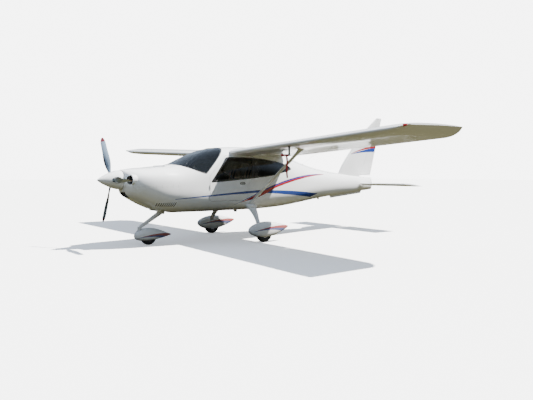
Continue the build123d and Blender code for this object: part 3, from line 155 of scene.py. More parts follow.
class Flow:
    """A socket in a formula."""

    def __init__(self, socket):
        self.socket, self.tree = socket, socket.id_data

    def __add__(self, other):
        return maths("ADD", self, other)

    def __sub__(self, other):
        return maths("SUBTRACT", self, other)

    def __rsub__(self, other):
        return maths("SUBTRACT", other, self)

    def __mul__(self, other):
        return maths("MULTIPLY", self, other)

    def __truediv__(self, other):
        return maths("DIVIDE", self, other)

    def __pow__(self, power):
        return maths("POWER", self, power)

    def __lt__(self, other):
        return maths("LESS_THAN", self, other)

    def __gt__(self, other):
        return maths("GREATER_THAN", self, other)

    def __abs__(self):
        return maths("ABSOLUTE", self)

    __radd__, __rmul__ = __add__, __mul__


# %% Nodes that finishes share
def source(tree, kind, title):
    """An output of a node that needs no inputs, such as coordinates."""
    return Flow(tree.nodes.new(kind).outputs[title])


def object_place(tree):
    """The shaded point in the object's own coordinates."""
    return source(tree, "ShaderNodeTexCoord", "Object")


def split_axes(vector):
    """The X, Y and Z of a vector."""
    return [Flow(part) for part in add_node(vector.tree, "ShaderNodeSeparateXYZ", Vector=vector).outputs]


def distance(*parts):
    """The length of a vector, from its parts."""
    return maths("SQRT", sum(part * part for part in parts))


def mix_colour(share, first, second):
    node = add_node(share.tree, "ShaderNodeMix", {"data_type": "RGBA"}, Factor=share, A=first, B=second)
    return Flow(node.outputs["Result"])


def smooth_step(value, low, high):
    """0 below low, 1 above high, smooth between."""
    node = add_node(value.tree, "ShaderNodeMapRange", {"interpolation_type": "SMOOTHSTEP"}, Value=value,
                    From_Min=low, From_Max=high)
    return Flow(node.outputs["Result"])


def noise(vector, scale, detail=3.0, roughness=0.5):
    node = add_node(vector.tree, "ShaderNodeTexNoise", Vector=vector, Scale=scale, Detail=detail,
                    Roughness=roughness)
    return Flow(node.outputs["Fac"])


def stretched(vector, scale):
    """Coordinates with a scale of their own along each axis."""
    return Flow(add_node(vector.tree, "ShaderNodeMapping", Vector=vector, Scale=scale).outputs[0])


def bump(height, strength, depth):
    node = add_node(height.tree, "ShaderNodeBump", Height=height, Strength=strength, Distance=depth)
    return Flow(node.outputs["Normal"])


def new_finish(name):
    """A material with its tree and its Principled shader."""
    material = bpy.data.materials.new(name)
    material.use_nodes = True
    print("finish", name)
    return material, material.node_tree, material.node_tree.nodes["Principled BSDF"]


# %% [markdown]
# ## Floor and light
# A pale floor and a white backdrop stand in for the apron on a bright day. The key light
# is high up on the left and behind, so the tops are bright, the wing shades the cabin's
# side, and the shadow lies ahead on the ground. The real apron is dull, and what it
# sends up is a dim olive. So the floor is pale where the camera sees it, and olive to
# the rays that leave it for the aircraft's underside. Light Path tells them apart. In the
# same way the camera sees a white backdrop, while the paint and the glass reflect a blue
# sky over a dark line of trees, which a ramp over the ray's direction gives.

# %% Floor
PALE, OLIVE, PURE_WHITE = (0.97, 0.97, 0.97, 1), (0.040, 0.037, 0.018, 1), (1, 1, 1, 1)
bpy.ops.mesh.primitive_plane_add(size=240.0, location=(0, 0, 0))
floor = bpy.context.object
floor.name = "floor"
floor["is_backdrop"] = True
floor_paint, tree, shader = new_finish("pale_floor")
seen = source(tree, "ShaderNodeLightPath", "Is Camera Ray")
set_inputs(shader, Base_Color=mix_colour(seen, OLIVE, PALE), Roughness=0.9, Specular_IOR_Level=0.1,
           Emission_Color=PURE_WHITE, Emission_Strength=seen * 0.35)
floor.data.materials.append(floor_paint)

# %% Sky
TREES, BLUE_SKY = (0.075, 0.080, 0.060, 1), (0.62, 0.77, 1.0, 1)
sky = bpy.data.worlds.new("sky")
bpy.context.scene.world = sky
sky.use_nodes = True
tree = sky.node_tree
upward = split_axes(source(tree, "ShaderNodeTexCoord", "Generated"))[2]
ramp = add_node(tree, "ShaderNodeValToRGB", Fac=upward)
for stop, position, colour in zip(ramp.color_ramp.elements, (0.05, 0.26), (TREES, BLUE_SKY)):
    stop.position, stop.color = position, colour
light = tree.nodes["Background"]
set_inputs(light, Color=ramp.outputs["Color"], Strength=0.85)
backdrop = add_node(tree, "ShaderNodeBackground", Color=PURE_WHITE, Strength=6.4)
either = add_node(tree, "ShaderNodeMixShader", Fac=source(tree, "ShaderNodeLightPath", "Is Camera Ray"))
feed(either.inputs[1], light.outputs[0])
feed(either.inputs[2], backdrop.outputs[0])
feed(tree.nodes["World Output"].inputs["Surface"], either.outputs[0])


# %% Lamps
def sun(name, towards, strength, colour, spread):
    """A distant lamp that shines from a direction, as wide in the sky as its spread in degrees."""
    data = bpy.data.lights.new(name, "SUN")
    data.energy, data.color, data.angle = strength, colour, radians(spread)
    lamp = new_object(name, data)
    lamp.rotation_euler = Vector(towards).to_track_quat("Z", "Y").to_euler()
    lamp.location = Vector(towards) * 10


sun("key", (-0.58, 0.31, 1.0), 20.0, (1, 0.98, 0.94), 1.2)
sun("fill", (0.8, 0.75, 0.55), 0.10, (0.9, 0.95, 1.0), 30)

# %% [markdown]
# ## Shader groups
# An effect that several finishes share is built once as a node group with named
# sockets. The group puts out only colours, values and normals, named after the shader's
# inputs that they feed. Each material keeps its own Principled shader.

# %% New groups
SURFACE = {"Base Color": "Color", "Roughness": "Float", "Normal": "Vector"}


def new_group(name, inputs, outputs):
    """A shader node group: its tree, its inputs as flows by name, and its outputs' sockets."""
    tree = bpy.data.node_groups.new(name, "ShaderNodeTree")
    for title, default in inputs.items():
        kind = "NodeSocketColor" if isinstance(default, tuple) else "NodeSocketFloat"
        tree.interface.new_socket(name=title, in_out="INPUT", socket_type=kind).default_value = default
    for title, kind in outputs.items():
        tree.interface.new_socket(name=title, in_out="OUTPUT", socket_type=f"NodeSocket{kind}")
    entry, end = tree.nodes.new("NodeGroupInput"), tree.nodes.new("NodeGroupOutput")
    print(f"group {name}: {len(inputs)} inputs, {len(outputs)} outputs")
    return tree, {title: Flow(entry.outputs[title]) for title in inputs}, end.inputs


# %% [markdown]
# ### A swept band of paint
# The trim on the body, fin and wheel fairings is a set of curved bands that start thin
# and swell. Each band is a parabola in the side view: a height at its start and its end,
# a bulge between them, and three widths. The mask is 1 inside the band. Its edge is as
# sharp as masking tape leaves it.

# %% Band group
band_group, i, o = new_group("swept_band", {
    "Along": 0.0, "Height": 0.0, "Start": 0.0, "End": 1.0, "Start Height": 0.0, "End Height": 1.0,
    "Bulge": 0.0, "Start Width": 0.01, "Middle Width": 0.02, "End Width": 0.01, "End Slant": 0.0,
}, {"Mask": "Float"})
share = (i["Along"] - i["Start"]) / (i["End"] - i["Start"])
arch = share * (1.0 - share) * 4.0
line = i["Start Height"] + share * (i["End Height"] - i["Start Height"]) + arch * i["Bulge"]
ends = i["Start Width"] + share * (i["End Width"] - i["Start Width"])
mean_end = (i["Start Width"] + i["End Width"]) * 0.5
half = (ends + arch * (i["Middle Width"] - mean_end)) * 0.5
inside = smooth_step(half - abs(i["Height"] - line), -0.0004, 0.0004)
slanted = (i["Height"] - i["End Height"]) * i["End Slant"]
feed(o["Mask"], inside * (i["Along"] > i["Start"]) * (i["Along"] - slanted < i["End"]))


def band(station, height, start, end, widths, bulge=0.0, slant=0.0):
    """One band's mask. It starts and ends at (station, height) places."""
    node = add_node(station.tree, "ShaderNodeGroup", {"node_tree": band_group}, Along=station, Height=height,
                    Start=start[0], Start_Height=start[1], End=end[0], End_Height=end[1], Bulge=bulge,
                    Start_Width=widths[0], Middle_Width=widths[1], End_Width=widths[2], End_Slant=slant)
    return Flow(node.outputs["Mask"])


# %% [markdown]
# ### Sprayed gelcoat
# White gelcoat is glossy but never perfectly flat: a faint orange peel bends its
# reflections. Dust gathers low down and on the belly, and thin dirty streaks run aft.
# The group mixes them into the colour it is given and puts out roughness and a normal.
# Where Matte is 1 the surface is dull lining instead.

# %% Gelcoat group
gelcoat_group, i, o = new_group("sprayed_gelcoat", {
    "Paint": (0.9, 0.9, 0.9, 1), "Matte": 0.0, "Peel Scale": 90.0, "Peel Depth": 0.05, "Dust": 0.3,
    "Dust Height": 0.6}, SURFACE)
where = object_place(gelcoat_group)
clouds = noise(where, 2.3, 5.0, 0.6)
streaks = smooth_step(noise(stretched(where, (1.2, 30.0, 30.0)), 1.0, 4.0, 0.65), 0.52, 0.8)
low = 1.0 - smooth_step(split_axes(where)[2], i["Dust Height"] * 0.35, i["Dust Height"])
dirt = maths("MINIMUM", i["Dust"] * (low * clouds + streaks * 0.18), 0.8)
shade = mix_colour(clouds * 0.05, i["Paint"], (0.78, 0.80, 0.84, 1))
feed(o["Base Color"], mix_colour(dirt, shade, (0.42, 0.38, 0.31, 1)))
feed(o["Roughness"], clouds * 0.07 + 0.12 + dirt * 0.6 + i["Matte"] * 0.6)
feed(o["Normal"], bump(noise(where, i["Peel Scale"], 2.0, 0.4), i["Peel Depth"], 0.002))

# %% [markdown]
# ### Grain, for rubber, plastics and metals
# Moulded plastic, cast metal and rubber all have a fine irregular grain. What differs is
# its size, its depth, and how much the gloss changes from place to place. One group
# serves them all: small noise for the grain and large noise for handling marks.

# %% Grain group
grain_group, i, o = new_group("fine_grain", {
    "Base": (0.5, 0.5, 0.5, 1), "Worn": (0.4, 0.4, 0.4, 1), "Gloss": 0.5, "Scale": 400.0, "Depth": 0.2,
    "Wear": 0.3}, SURFACE)
where = object_place(grain_group)
grain = noise(where, i["Scale"], 3.0, 0.6)
wear = smooth_step(noise(where, 9.0, 6.0, 0.7), 0.45, 0.75) * i["Wear"]
feed(o["Base Color"], mix_colour(wear, i["Base"], i["Worn"]))
feed(o["Roughness"], i["Gloss"] + (grain - 0.5) * 0.15 + wear * 0.2)
feed(o["Normal"], bump(grain, i["Depth"], 0.001))

# %% [markdown]
# ### Woven cloth
# Upholstery and streamer cloth is two sets of threads that cross. Two fine sine waves,
# multiplied, give a thread's height, and slow noise fades the dye. The threads' crests are
# also painted lighter and the hollows between them darker, as painted light and shade of
# the weave. It uses the object's own coordinates, so it has no seams where the mesh does.

# %% Weave group
weave_group, i, o = new_group("woven_cloth", {
    "Dye": (0.5, 0.4, 0.3, 1), "Faded": (0.6, 0.5, 0.4, 1), "Threads": 2400.0, "Depth": 0.4,
}, {"Base Color": "Color", "Normal": "Vector"})
where = object_place(weave_group)
x, y, z = split_axes(where)
warp, weft = (maths("SINE", (across + z * 0.7) * i["Threads"]) for across in (x, y))
thread = warp * weft * 0.5 + 0.5
# Slow noise fades the dye. The thread's height paints the crests lighter and the hollows darker, as painted
# light and shade.
fade_and_thread_shade = noise(where, 14.0, 5.0, 0.6) * 0.8 + thread * 0.25
feed(o["Base Color"], mix_colour(fade_and_thread_shade, i["Dye"], i["Faded"]))
feed(o["Normal"], bump(thread, i["Depth"], 0.0006))


# %% Finishes from the groups
def cover(shader, group, **values):
    """Puts a group into a shader's material and links each output to the input of its name."""
    node = add_node(shader.id_data, "ShaderNodeGroup", {"node_tree": group}, **values)
    for socket in node.outputs:
        feed(shader.inputs[socket.name], socket)


def gelcoat_finish(name, paint, dust=0.3, dust_height=0.6):
    """Glossy gelcoat over a paint. The paint is a colour, or makes a colour and its matte mask."""
    material, tree, shader = new_finish(name)
    colour, matte = paint(tree) if callable(paint) else (paint, 0.0)
    cover(shader, gelcoat_group, Paint=colour, Matte=matte, Dust=dust, Dust_Height=dust_height)
    set_inputs(shader, Coat_Weight=0.5, Coat_Roughness=0.04)
    return material


def grained(name, base, worn, gloss, scale=400.0, depth=0.2, wear=0.3, metallic=0.0):
    """Rubber, plastic or metal with a fine grain."""
    material, _, shader = new_finish(name)
    cover(shader, grain_group, Base=(*base, 1), Worn=(*worn, 1), Gloss=gloss, Scale=scale, Depth=depth,
          Wear=wear)
    set_inputs(shader, Metallic=metallic)
    return material


def woven(name, dye, faded, threads=2400.0, roughness=0.85):
    """Cloth with crossing threads and a soft sheen."""
    material, _, shader = new_finish(name)
    cover(shader, weave_group, Dye=(*dye, 1), Faded=(*faded, 1), Threads=threads)
    set_inputs(shader, Roughness=roughness, Sheen_Weight=0.3)
    return material


def dress(finish, *names):
    """Gives CAD nodes a finish."""
    for name in names:
        nodes[name].data.materials.clear()
        nodes[name].data.materials.append(finish)


# %% [markdown]
# ## Paint
# The body is white with a thin blue line that swells into a band aft of the doors, and
# a red and blue swoosh that climbs across it. The same two colours sweep over the fin and
# the wheel fairings. Each colour is laid over the last with its band's mask. The frames
# between the side windows are painted black, so that the panes look like one long one.
# The faces that look into the cabin are a dull lining painted near-black, which also
# paints the cabin's shade, and the insides of the intakes and the chin opening are
# painted black as the shade deep in them.

# %% Colours
WHITE = (0.86, 0.865, 0.87, 1)
BLUE = (0.0005, 0.034, 0.24, 1)
RED = (0.30, 0.0005, 0.005, 1)
GLOSS_BLACK = (0.006, 0.006, 0.007, 1)
# Near-black for the cabin's inner faces: a dull lining that also paints the cabin's shade.
LINING_SHADE = (0.022, 0.021, 0.020, 1)


def laid_over(base, layers):
    """Paint colours laid over a base, each through its mask."""
    for mask, colour in layers:
        base = mix_colour(mask, base, colour)
    return base


def stations(tree):
    """Station, sideways place and height of a shaded point."""
    x, y, z = split_axes(object_place(tree))
    return NOSE_X - x, y, z


def band_layers(s, z, bands):
    """The masks and colours of several bands."""
    return [(band(s, z, **values), colour) for colour, values in bands]


def trimmed(*bands):
    """A paint of bands on white."""
    def paint(tree):
        s, _, z = stations(tree)
        return laid_over(WHITE, band_layers(s, z, bands)), 0.0
    return paint


# %% Masks of the body
def window_band(s, z):
    """The black band round the side windows, between a low curve and a high one."""
    aft, fall = s - 1.85, maths("MAXIMUM", s - 2.45, 0.0)
    low = 1.085 + aft * 0.082 + aft ** 5.0 * 0.0037
    high = 1.545 - fall * fall * 0.088 - (fall / 1.299) ** 20.0 * 0.055
    pillar = 1.118 + (s - 1.835) * 1.331
    corner = 0.034
    short = [maths("MAXIMUM", corner - inside, 0.0)
             for inside in (z - low, high - z, (pillar - z) * 0.6, 3.755 - s)]
    return (1.0 - smooth_step(distance(*short), corner - 0.001, corner + 0.001)) * (s > 1.8)


def lining_shade_mask(s, y, z):
    """1 on the faces of the cabin that look inwards, from the true normal. They get a near-black lining that
    also paints the cabin's shade.
    """
    _, normal_y, normal_z = split_axes(source(s.tree, "ShaderNodeNewGeometry", "True Normal"))
    outward = normal_y * y + normal_z * (z - 1.15)
    return (s > 1.27) * (s < 3.74) * (1.0 - smooth_step(outward, -0.12, -0.06))


def duct_shade_mask(s, y, z):
    """1 in the two round intakes and in the chin opening, painted black inside as the shade deep in them."""
    round_duct = (distance(abs(y) - 0.285, z - 1.141) < 0.0752) * (s < 0.75)
    chin = (abs(y) < 0.1232) * (abs(z - 0.885) < 0.0462) * (s < 0.65) * (s > 0.41)
    return maths("MAXIMUM", round_duct, chin)


# %% Body paint
BODY_BANDS = (
    (BLUE, dict(start=(1.16, 0.806), end=(2.90, 0.916), widths=(0.008, 0.029, 0.046), bulge=0.009)),
    (BLUE, dict(start=(2.88, 0.912), end=(4.50, 0.796), widths=(0.046, 0.080, 0.094), bulge=0.016,
                slant=3.2)),
    (RED, dict(start=(2.46, 0.716), end=(3.30, 1.008), widths=(0.002, 0.068, 0.050), bulge=-0.010)),
    (RED, dict(start=(2.90, 0.884), end=(4.84, 1.230), widths=(0.070, 0.066, 0.006), bulge=0.090)),
    (BLUE, dict(start=(2.30, 0.652), end=(4.84, 1.238), widths=(0.002, 0.024, 0.002), bulge=0.157)),
)


def body_paint(tree):
    s, y, z = stations(tree)
    lining_shade, duct_shade = lining_shade_mask(s, y, z), duct_shade_mask(s, y, z)
    # The intakes are painted black as the shade deep inside them, and the lining near-black as the cabin's
    # shade.
    layers = [*band_layers(s, z, BODY_BANDS), (window_band(s, z), GLOSS_BLACK), (lining_shade, LINING_SHADE),
              (duct_shade, GLOSS_BLACK)]
    return laid_over(WHITE, layers), maths("MAXIMUM", lining_shade, duct_shade)


dress(gelcoat_finish("body_gelcoat", body_paint, 0.35, 0.75),
      "cowl_upper", "cowl_lower", "cabin_shell", "tail_cone", "door_left", "door_right")

# %% Fin and wheel fairing paint
fin_paint = trimmed(
    (BLUE, dict(start=(5.90, 1.700), end=(6.97, 1.830), widths=(0.004, 0.066, 0.130), bulge=0.030)),
    (RED, dict(start=(5.90, 1.712), end=(6.97, 1.906), widths=(0.006, 0.044, 0.060), bulge=0.046)))
main_fairing_paint = trimmed(
    (BLUE, dict(start=(2.46, 0.206), end=(3.31, 0.172), widths=(0.004, 0.048, 0.090), bulge=0.058)),
    (RED, dict(start=(2.53, 0.226), end=(3.31, 0.246), widths=(0.003, 0.034, 0.066), bulge=0.036)))
nose_fairing_paint = trimmed(
    (BLUE, dict(start=(0.66, 0.130), end=(1.34, 0.080), widths=(0.005, 0.036, 0.072), bulge=0.052)),
    (RED, dict(start=(0.74, 0.150), end=(1.34, 0.138), widths=(0.004, 0.030, 0.062), bulge=0.034)))
dress(gelcoat_finish("fin_gelcoat", fin_paint, 0.15, 1.3), "fin", "rudder")
dress(gelcoat_finish("main_fairing_gelcoat", main_fairing_paint, 0.55, 0.42), "main_pants")
dress(gelcoat_finish("nose_fairing_gelcoat", nose_fairing_paint, 0.55, 0.36), "nose_pant")

# %% Plain white surfaces
white_gelcoat = gelcoat_finish("wing_gelcoat", WHITE, 0.12, 0.5)
dress(white_gelcoat, "wings", "flap_left", "flap_right", "aileron_left", "aileron_right",
      "stabilator", "anti_servo_tab", "lift_struts", "spinner")
leg_gelcoat = gelcoat_finish("leg_gelcoat", WHITE, 0.5, 0.7)
dress(leg_gelcoat, "main_legs", "nose_leg", "nose_fork")

# %% [markdown]
# ## Glass
# The windows are tinted acrylic. Seen from outside the cabin is far darker than the sky,
# so the panes look black and show reflections. The shader is a plain transmission one
# with a smoky colour. A faint smear of wiped dust changes its roughness from place to
# place.

# %% Tinted acrylic
glass, tree, shader = new_finish("tinted_acrylic")
wipes = noise(stretched(object_place(tree), (6.0, 6.0, 22.0)), 1.0, 5.0, 0.6)
set_inputs(shader, Base_Color=(0.36, 0.37, 0.38, 1), Specular_IOR_Level=0.4, Transmission_Weight=1.0,
           IOR=1.49, Roughness=smooth_step(wipes, 0.45, 0.8) * 0.05)
dress(glass, "windshield", "quarter_windows", "door_glass_left", "door_glass_right")

# %% [markdown]
# ## Propeller
# The blades are grey-blue composite with dark red tips and a black erosion strip on the
# inner part of the leading edge. The paint follows the blade, not the side view. So the
# shader takes the distance from the shaft, and the angle about it folded onto one blade,
# which gives the distance from that blade's own line.

# %% Propeller paint
prop_low, prop_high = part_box("spinner")
PROP_Z = (prop_low.z + prop_high.z) / 2
BLADE_TURN = 2 * pi / 3
PROP_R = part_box("propeller")[1].y

propeller_finish, tree, shader = new_finish("propeller_paint")
s, y, z = stations(tree)
reach = distance(y, z - PROP_Z)
angle = maths("WRAP", maths("ARCTAN2", z - PROP_Z, y), BLADE_TURN / 2, -BLADE_TURN / 2)
tip = smooth_step(reach, PROP_R - 0.082, PROP_R - 0.080)
strip = smooth_step(reach * maths("SINE", angle), 0.021, 0.023) * (1.0 - smooth_step(reach, 0.47, 0.49))
blade_colour = laid_over((0.22, 0.29, 0.38, 1), [(strip, GLOSS_BLACK), (tip, (0.13, 0.010, 0.018, 1))])
cover(shader, gelcoat_group, Paint=blade_colour, Dust=0.15, Dust_Height=0.3)
set_inputs(shader, Coat_Weight=0.3)
dress(propeller_finish, "propeller")
print("propeller radius", round(PROP_R, 3))

# %% [markdown]
# ## Rubber
# Light aircraft tyres have straight ribs round the tread and smooth walls. Grooves could
# be cut into a mesh, but a solid's own mesh stays as it is. So the ribs are a bump: a wave
# across the tyre's width, held to the tread, and the grooves are painted darker as their
# shade. The distance from the wheel's middle plane is measured from the tyre's own box.


# %% Tyres
def tyre_rubber(name, node):
    """Black rubber with three grooves round the tread of one tyre, painted darker as their shade."""
    low_corner, high_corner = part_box(node)
    middle = (low_corner + high_corner) / 2
    radius = (high_corner.z - low_corner.z) / 2
    material, tree, shader = new_finish(name)
    s, y, z = stations(tree)
    reach = distance(s - (NOSE_X - middle.x), z - middle.z)
    tread = smooth_step(reach, radius * 0.86, radius * 0.92)
    wave = maths("COSINE", abs(y - middle.y) * (2 * pi / 0.021))
    groove_and_shade = smooth_step(wave, 0.35, 0.6) * tread
    soil = noise(object_place(tree), 45.0, 5.0, 0.6) * 0.7
    colour = mix_colour(soil, (0.012, 0.012, 0.013, 1), (0.045, 0.042, 0.038, 1))
    # The grooves are painted near-black as their shade, and the bump sinks them.
    set_inputs(shader, Base_Color=mix_colour(groove_and_shade, colour, (0.004, 0.004, 0.004, 1)),
               Roughness=0.62 + soil * 0.3, Normal=bump(soil - groove_and_shade * 4.0, 0.6, 0.002))
    dress(material, node)


for side in SIDES:
    tyre_rubber(f"main_tyre_rubber_{side}", f"main_tyre_{side}")
tyre_rubber("nose_tyre_rubber", "nose_tyre")

# %% [markdown]
# ## Metals, plastics and cloth
# Screws, axles and the firewall are bare steel, and the rims and the engine are cast
# alloy. The cabin has moulded plastic, carpet, seat cloth and belt webbing. Each could
# have a shader of its own, but they differ only in numbers. So each is the grain group or
# the weave group with its own values. The exhaust pipe is apart: its heat colours run
# from straw through brown to blue towards the engine.

# %% Shared finishes
BARE_STEEL = grained("bare_steel", (0.52, 0.52, 0.52), (0.30, 0.29, 0.27), 0.32, 700.0, 0.1, 0.5, 1.0)
ALLOY = grained("cast_alloy", (0.66, 0.67, 0.68), (0.36, 0.34, 0.31), 0.42, 300.0, 0.3, 0.5, 1.0)
RUBBER = grained("black_rubber", (0.012, 0.012, 0.013), (0.04, 0.04, 0.04), 0.6, 500.0, 0.15, 0.4)
BLACK_PLASTIC = grained("black_plastic", (0.016, 0.016, 0.018), (0.05, 0.05, 0.05), 0.48, 900.0, 0.3, 0.3)
WHITE_PLASTIC = grained("white_plastic", (0.78, 0.78, 0.77), (0.60, 0.59, 0.56), 0.4, 600.0, 0.1, 0.3)
WHITE_MARK = grained("white_mark", (0.80, 0.80, 0.76), (0.70, 0.70, 0.66), 0.6, 600.0, 0.05, 0.2)
CARPET = woven("cabin_carpet", (0.035, 0.035, 0.038), (0.075, 0.075, 0.080), 900.0, 0.95)
SEAT_CLOTH = woven("seat_cloth", (0.62, 0.44, 0.25), (0.78, 0.60, 0.38), 1500.0)
WEBBING = woven("belt_webbing", (0.02, 0.02, 0.023), (0.05, 0.05, 0.055), 2000.0)
COVER_CLOTH = woven("sewn_cloth", (0.30, 0.006, 0.012), (0.42, 0.020, 0.024), 1600.0)

dress(BARE_STEEL, "firewall", "main_axles", "nose_axle")
dress(ALLOY, "engine_block", "main_rim_left", "main_rim_right", "nose_rim")
dress(BLACK_PLASTIC, "instrument_panel", "control_stick")
dress(CARPET, "cabin_floor")
dress(grained("mast_paint", (0.10, 0.105, 0.11), (0.2, 0.2, 0.2), 0.4, 600.0, 0.1, 0.3), "pitot_mast")

# %% Exhaust
STRAW, BROWN, HEAT_BLUE = (0.50, 0.42, 0.30, 1), (0.25, 0.13, 0.07, 1), (0.14, 0.17, 0.27, 1)
exhaust_finish, tree, shader = new_finish("heated_steel")
where = object_place(tree)
heat = smooth_step(split_axes(where)[2], 0.54, 0.94) + noise(where, 30.0) * 0.3
straw_to_brown = mix_colour(smooth_step(heat, 0.1, 0.6), STRAW, BROWN)
set_inputs(shader, Base_Color=mix_colour(smooth_step(heat, 0.7, 1.1), straw_to_brown, HEAT_BLUE),
           Roughness=0.3 + heat * 0.15, Metallic=1.0)
dress(exhaust_finish, "exhaust_pipe")

# %% [markdown]
# The tip lights are one node on both wing tips, red on the left and green on the right.
# Two materials would need the node cut in two. So one shader asks which side of the
# aircraft a point is on. Fine rings in its bump stand for the ribs of a lens.

# %% Tip lights
lens, tree, shader = new_finish("lamp_lens")
s, y, z = stations(tree)
set_inputs(shader, Base_Color=mix_colour(y > 0.0, (0.01, 0.42, 0.10, 1), (0.60, 0.012, 0.01, 1)),
           Normal=bump(maths("SINE", z * 1600.0), 0.2, 0.0004), Roughness=0.08, Coat_Weight=1.0)
dress(lens, "tip_lights")

# %% [markdown]
# ## Making pieces
# Small pieces are meshes built in code. Those that lie on the aircraft's skin find it
# with a ray, so that they follow its curves: a tree of the skin's faces answers where a
# ray meets it and which way the skin faces there. Nearly all the pieces are one of four
# shapes. A turned form is a profile spun about an axis, as a lathe does it. A loft is a
# skin over ovals. A plate is a few rings of points that are dropped onto the skin. A
# tube is a curve with a round section. Each piece rides on the body that it moves with,
# and gets its finish as its material.


# %% Rays that find the skin
def skin_of(*names):
    """A search tree over the faces of CAD nodes."""
    corners, faces = [], []
    for name in names:
        mesh = nodes[name].data
        start = len(corners)
        corners += [vertex.co.copy() for vertex in mesh.vertices]
        faces += [[start + index for index in polygon.vertices] for polygon in mesh.polygons]
    return BVHTree.FromPolygons(corners, faces)


def meet(skin, start, towards):
    """Where a ray meets a skin, and the skin's normal there, facing the ray's start."""
    place, normal, _, _ = skin.ray_cast(Vector(start), Vector(towards).normalized())
    if place is None:
        raise ValueError(f"no skin from {[round(v, 3) for v in start]} towards {list(towards)}")
    return place, normal if normal.dot(Vector(towards)) < 0 else -normal


def place_mesh(name, mesh, finish, body="airframe"):
    """An object for a finished mesh, riding on a body."""
    mesh.shade_smooth()
    mesh.set_sharp_from_angle(angle=radians(38))
    mesh.materials.clear()
    mesh.materials.append(finish)
    thing = new_object(name, mesh)
    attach(thing, body)
    print(f"{name}: {len(mesh.polygons)} faces of {finish.name} on {body}")
    return thing


def plain_mesh(name, form):
    """A mesh from a bmesh, with its normals outwards."""
    bmesh.ops.recalc_face_normals(form, faces=form.faces)
    mesh = bpy.data.meshes.new(name)
    form.to_mesh(mesh)
    form.free()
    return mesh


def make_piece(name, form, finish, body="airframe"):
    """A piece from a bmesh, smooth with sharp creases."""
    return place_mesh(name, plain_mesh(name, form), finish, body)


def evaluated_mesh(thing):
    """A plain mesh of what an object's modifiers or curve settings give."""
    return bpy.data.meshes.new_from_object(thing.evaluated_get(bpy.context.evaluated_depsgraph_get()))


# %% Rings and turned forms
def join_rings(form, rings, close_ends=True):
    """Faces between rings of corners, with the two ends closed."""
    for first, second in zip(rings, rings[1:]):
        count = len(first)
        for k in range(count):
            form.faces.new((first[k], first[(k + 1) % count], second[(k + 1) % count], second[k]))
    if close_ends:
        form.faces.new(rings[0])
        form.faces.new(rings[-1])


def axes_at(place, along, across=None):
    """A matrix at a place, with its Z along one direction and its X near another."""
    forward = Vector(along).normalized()
    side = Vector(across) if across is not None else forward.orthogonal()
    side = (side - forward * side.dot(forward)).normalized()
    turn = Matrix((side, forward.cross(side), forward)).transposed()
    return Matrix.Translation(place) @ turn.to_4x4()


def turned(form, profile, place, axis, sides=24):
    """Adds a turned form: (distance along the axis, radius) pairs, closed at both ends."""
    frame_there = axes_at(place, axis)
    rings = []
    for distance_along, radius in profile:
        corners = [Vector((radius * cos(a), radius * sin(a), distance_along))
                   for a in np.linspace(0, 2 * pi, sides, endpoint=False)]
        rings.append([form.verts.new(frame_there @ corner) for corner in corners])
    join_rings(form, rings)


def turned_piece(name, profile, place, axis, finish):
    form = bmesh.new()
    turned(form, profile, place, axis)
    return make_piece(name, form, finish)


# %% Ovals, lofts and blocks
def oval(share_x, share_y, squareness, sides):
    """Points round an oval: an ellipse for squareness 2, a rounded rectangle above 4."""
    for angle in np.linspace(0, 2 * pi, sides, endpoint=False):
        c, q = cos(angle), sin(angle)
        size = (abs(c) ** squareness + abs(q) ** squareness) ** (-1 / squareness)
        yield c * size * share_x, q * size * share_y


def lofted(form, sections, squareness=2.0, sides=32):
    """Adds a loft through ovals. A section is (place, along, across, half width, half depth)."""
    rings = []
    for place, along, across, half_width, half_depth in sections:
        frame_there = axes_at(place, along, across)
        rings.append([form.verts.new(frame_there @ Vector((u, v, 0)))
                      for u, v in oval(half_width, half_depth, squareness, sides)])
    join_rings(form, rings)


def block(form, foot, up, across, half_width, half_depth, levels, squareness, sides=32):
    """Adds a low block over a foot. Its levels are (lift, share of the full size) pairs."""
    lofted(form, [(foot + up * lift, up, across, half_width * share, half_depth * share)
                  for lift, share in levels], squareness, sides)


# %% Plates on the skin
def laid_plate(form, skin, centre, inward, across, half_across, half_up, height=0.0015,
               squareness=2.0, sides=32):
    """Adds a thin plate that follows a skin, with its edge let into it."""
    inward = Vector(inward).normalized()
    side = Vector(across)
    side = (side - inward * side.dot(inward)).normalized()
    up = inward.cross(side)
    rings = []
    for share, lift in ((0.3, height), (0.65, height), (0.95, height), (1.0, 0.6 * height), (1.0, -0.002)):
        ring = []
        for u, v in oval(share * half_across, share * half_up, squareness, sides):
            place, normal = meet(skin, centre + side * u + up * v - inward * 0.25, inward)
            ring.append(form.verts.new(place + normal * lift))
        rings.append(ring)
    join_rings(form, rings)


# %% Tubes
def tube(name, points, radius, finish):
    """A smooth round bar along points."""
    line = bpy.data.curves.new(name, "CURVE")
    line.dimensions, line.bevel_depth, line.bevel_resolution = "3D", radius, 3
    line.use_fill_caps, line.resolution_u = True, 8
    spline = line.splines.new("NURBS")
    spline.points.add(len(points) - 1)
    for knot, place in zip(spline.points, points):
        knot.co = (*place, 1.0)
    spline.order_u, spline.use_endpoint_u = 3, True
    carrier = new_object(name, line)
    mesh = evaluated_mesh(carrier)
    bpy.data.objects.remove(carrier)
    return place_mesh(name, mesh, finish)


# %% [markdown]
# ## Rows and beads with Geometry Nodes
# Screws and round covers repeat along a line, and a rubber bead follows one. Placing
# them by hand would fix their number. A node tree takes the line and works the rest out
# from named inputs: it resamples the line to the spacing, sets one head on each point,
# and turns it to face the way the skin does, which each point of the line remembers in an
# attribute called facing. The tree ends in real geometry with its material.


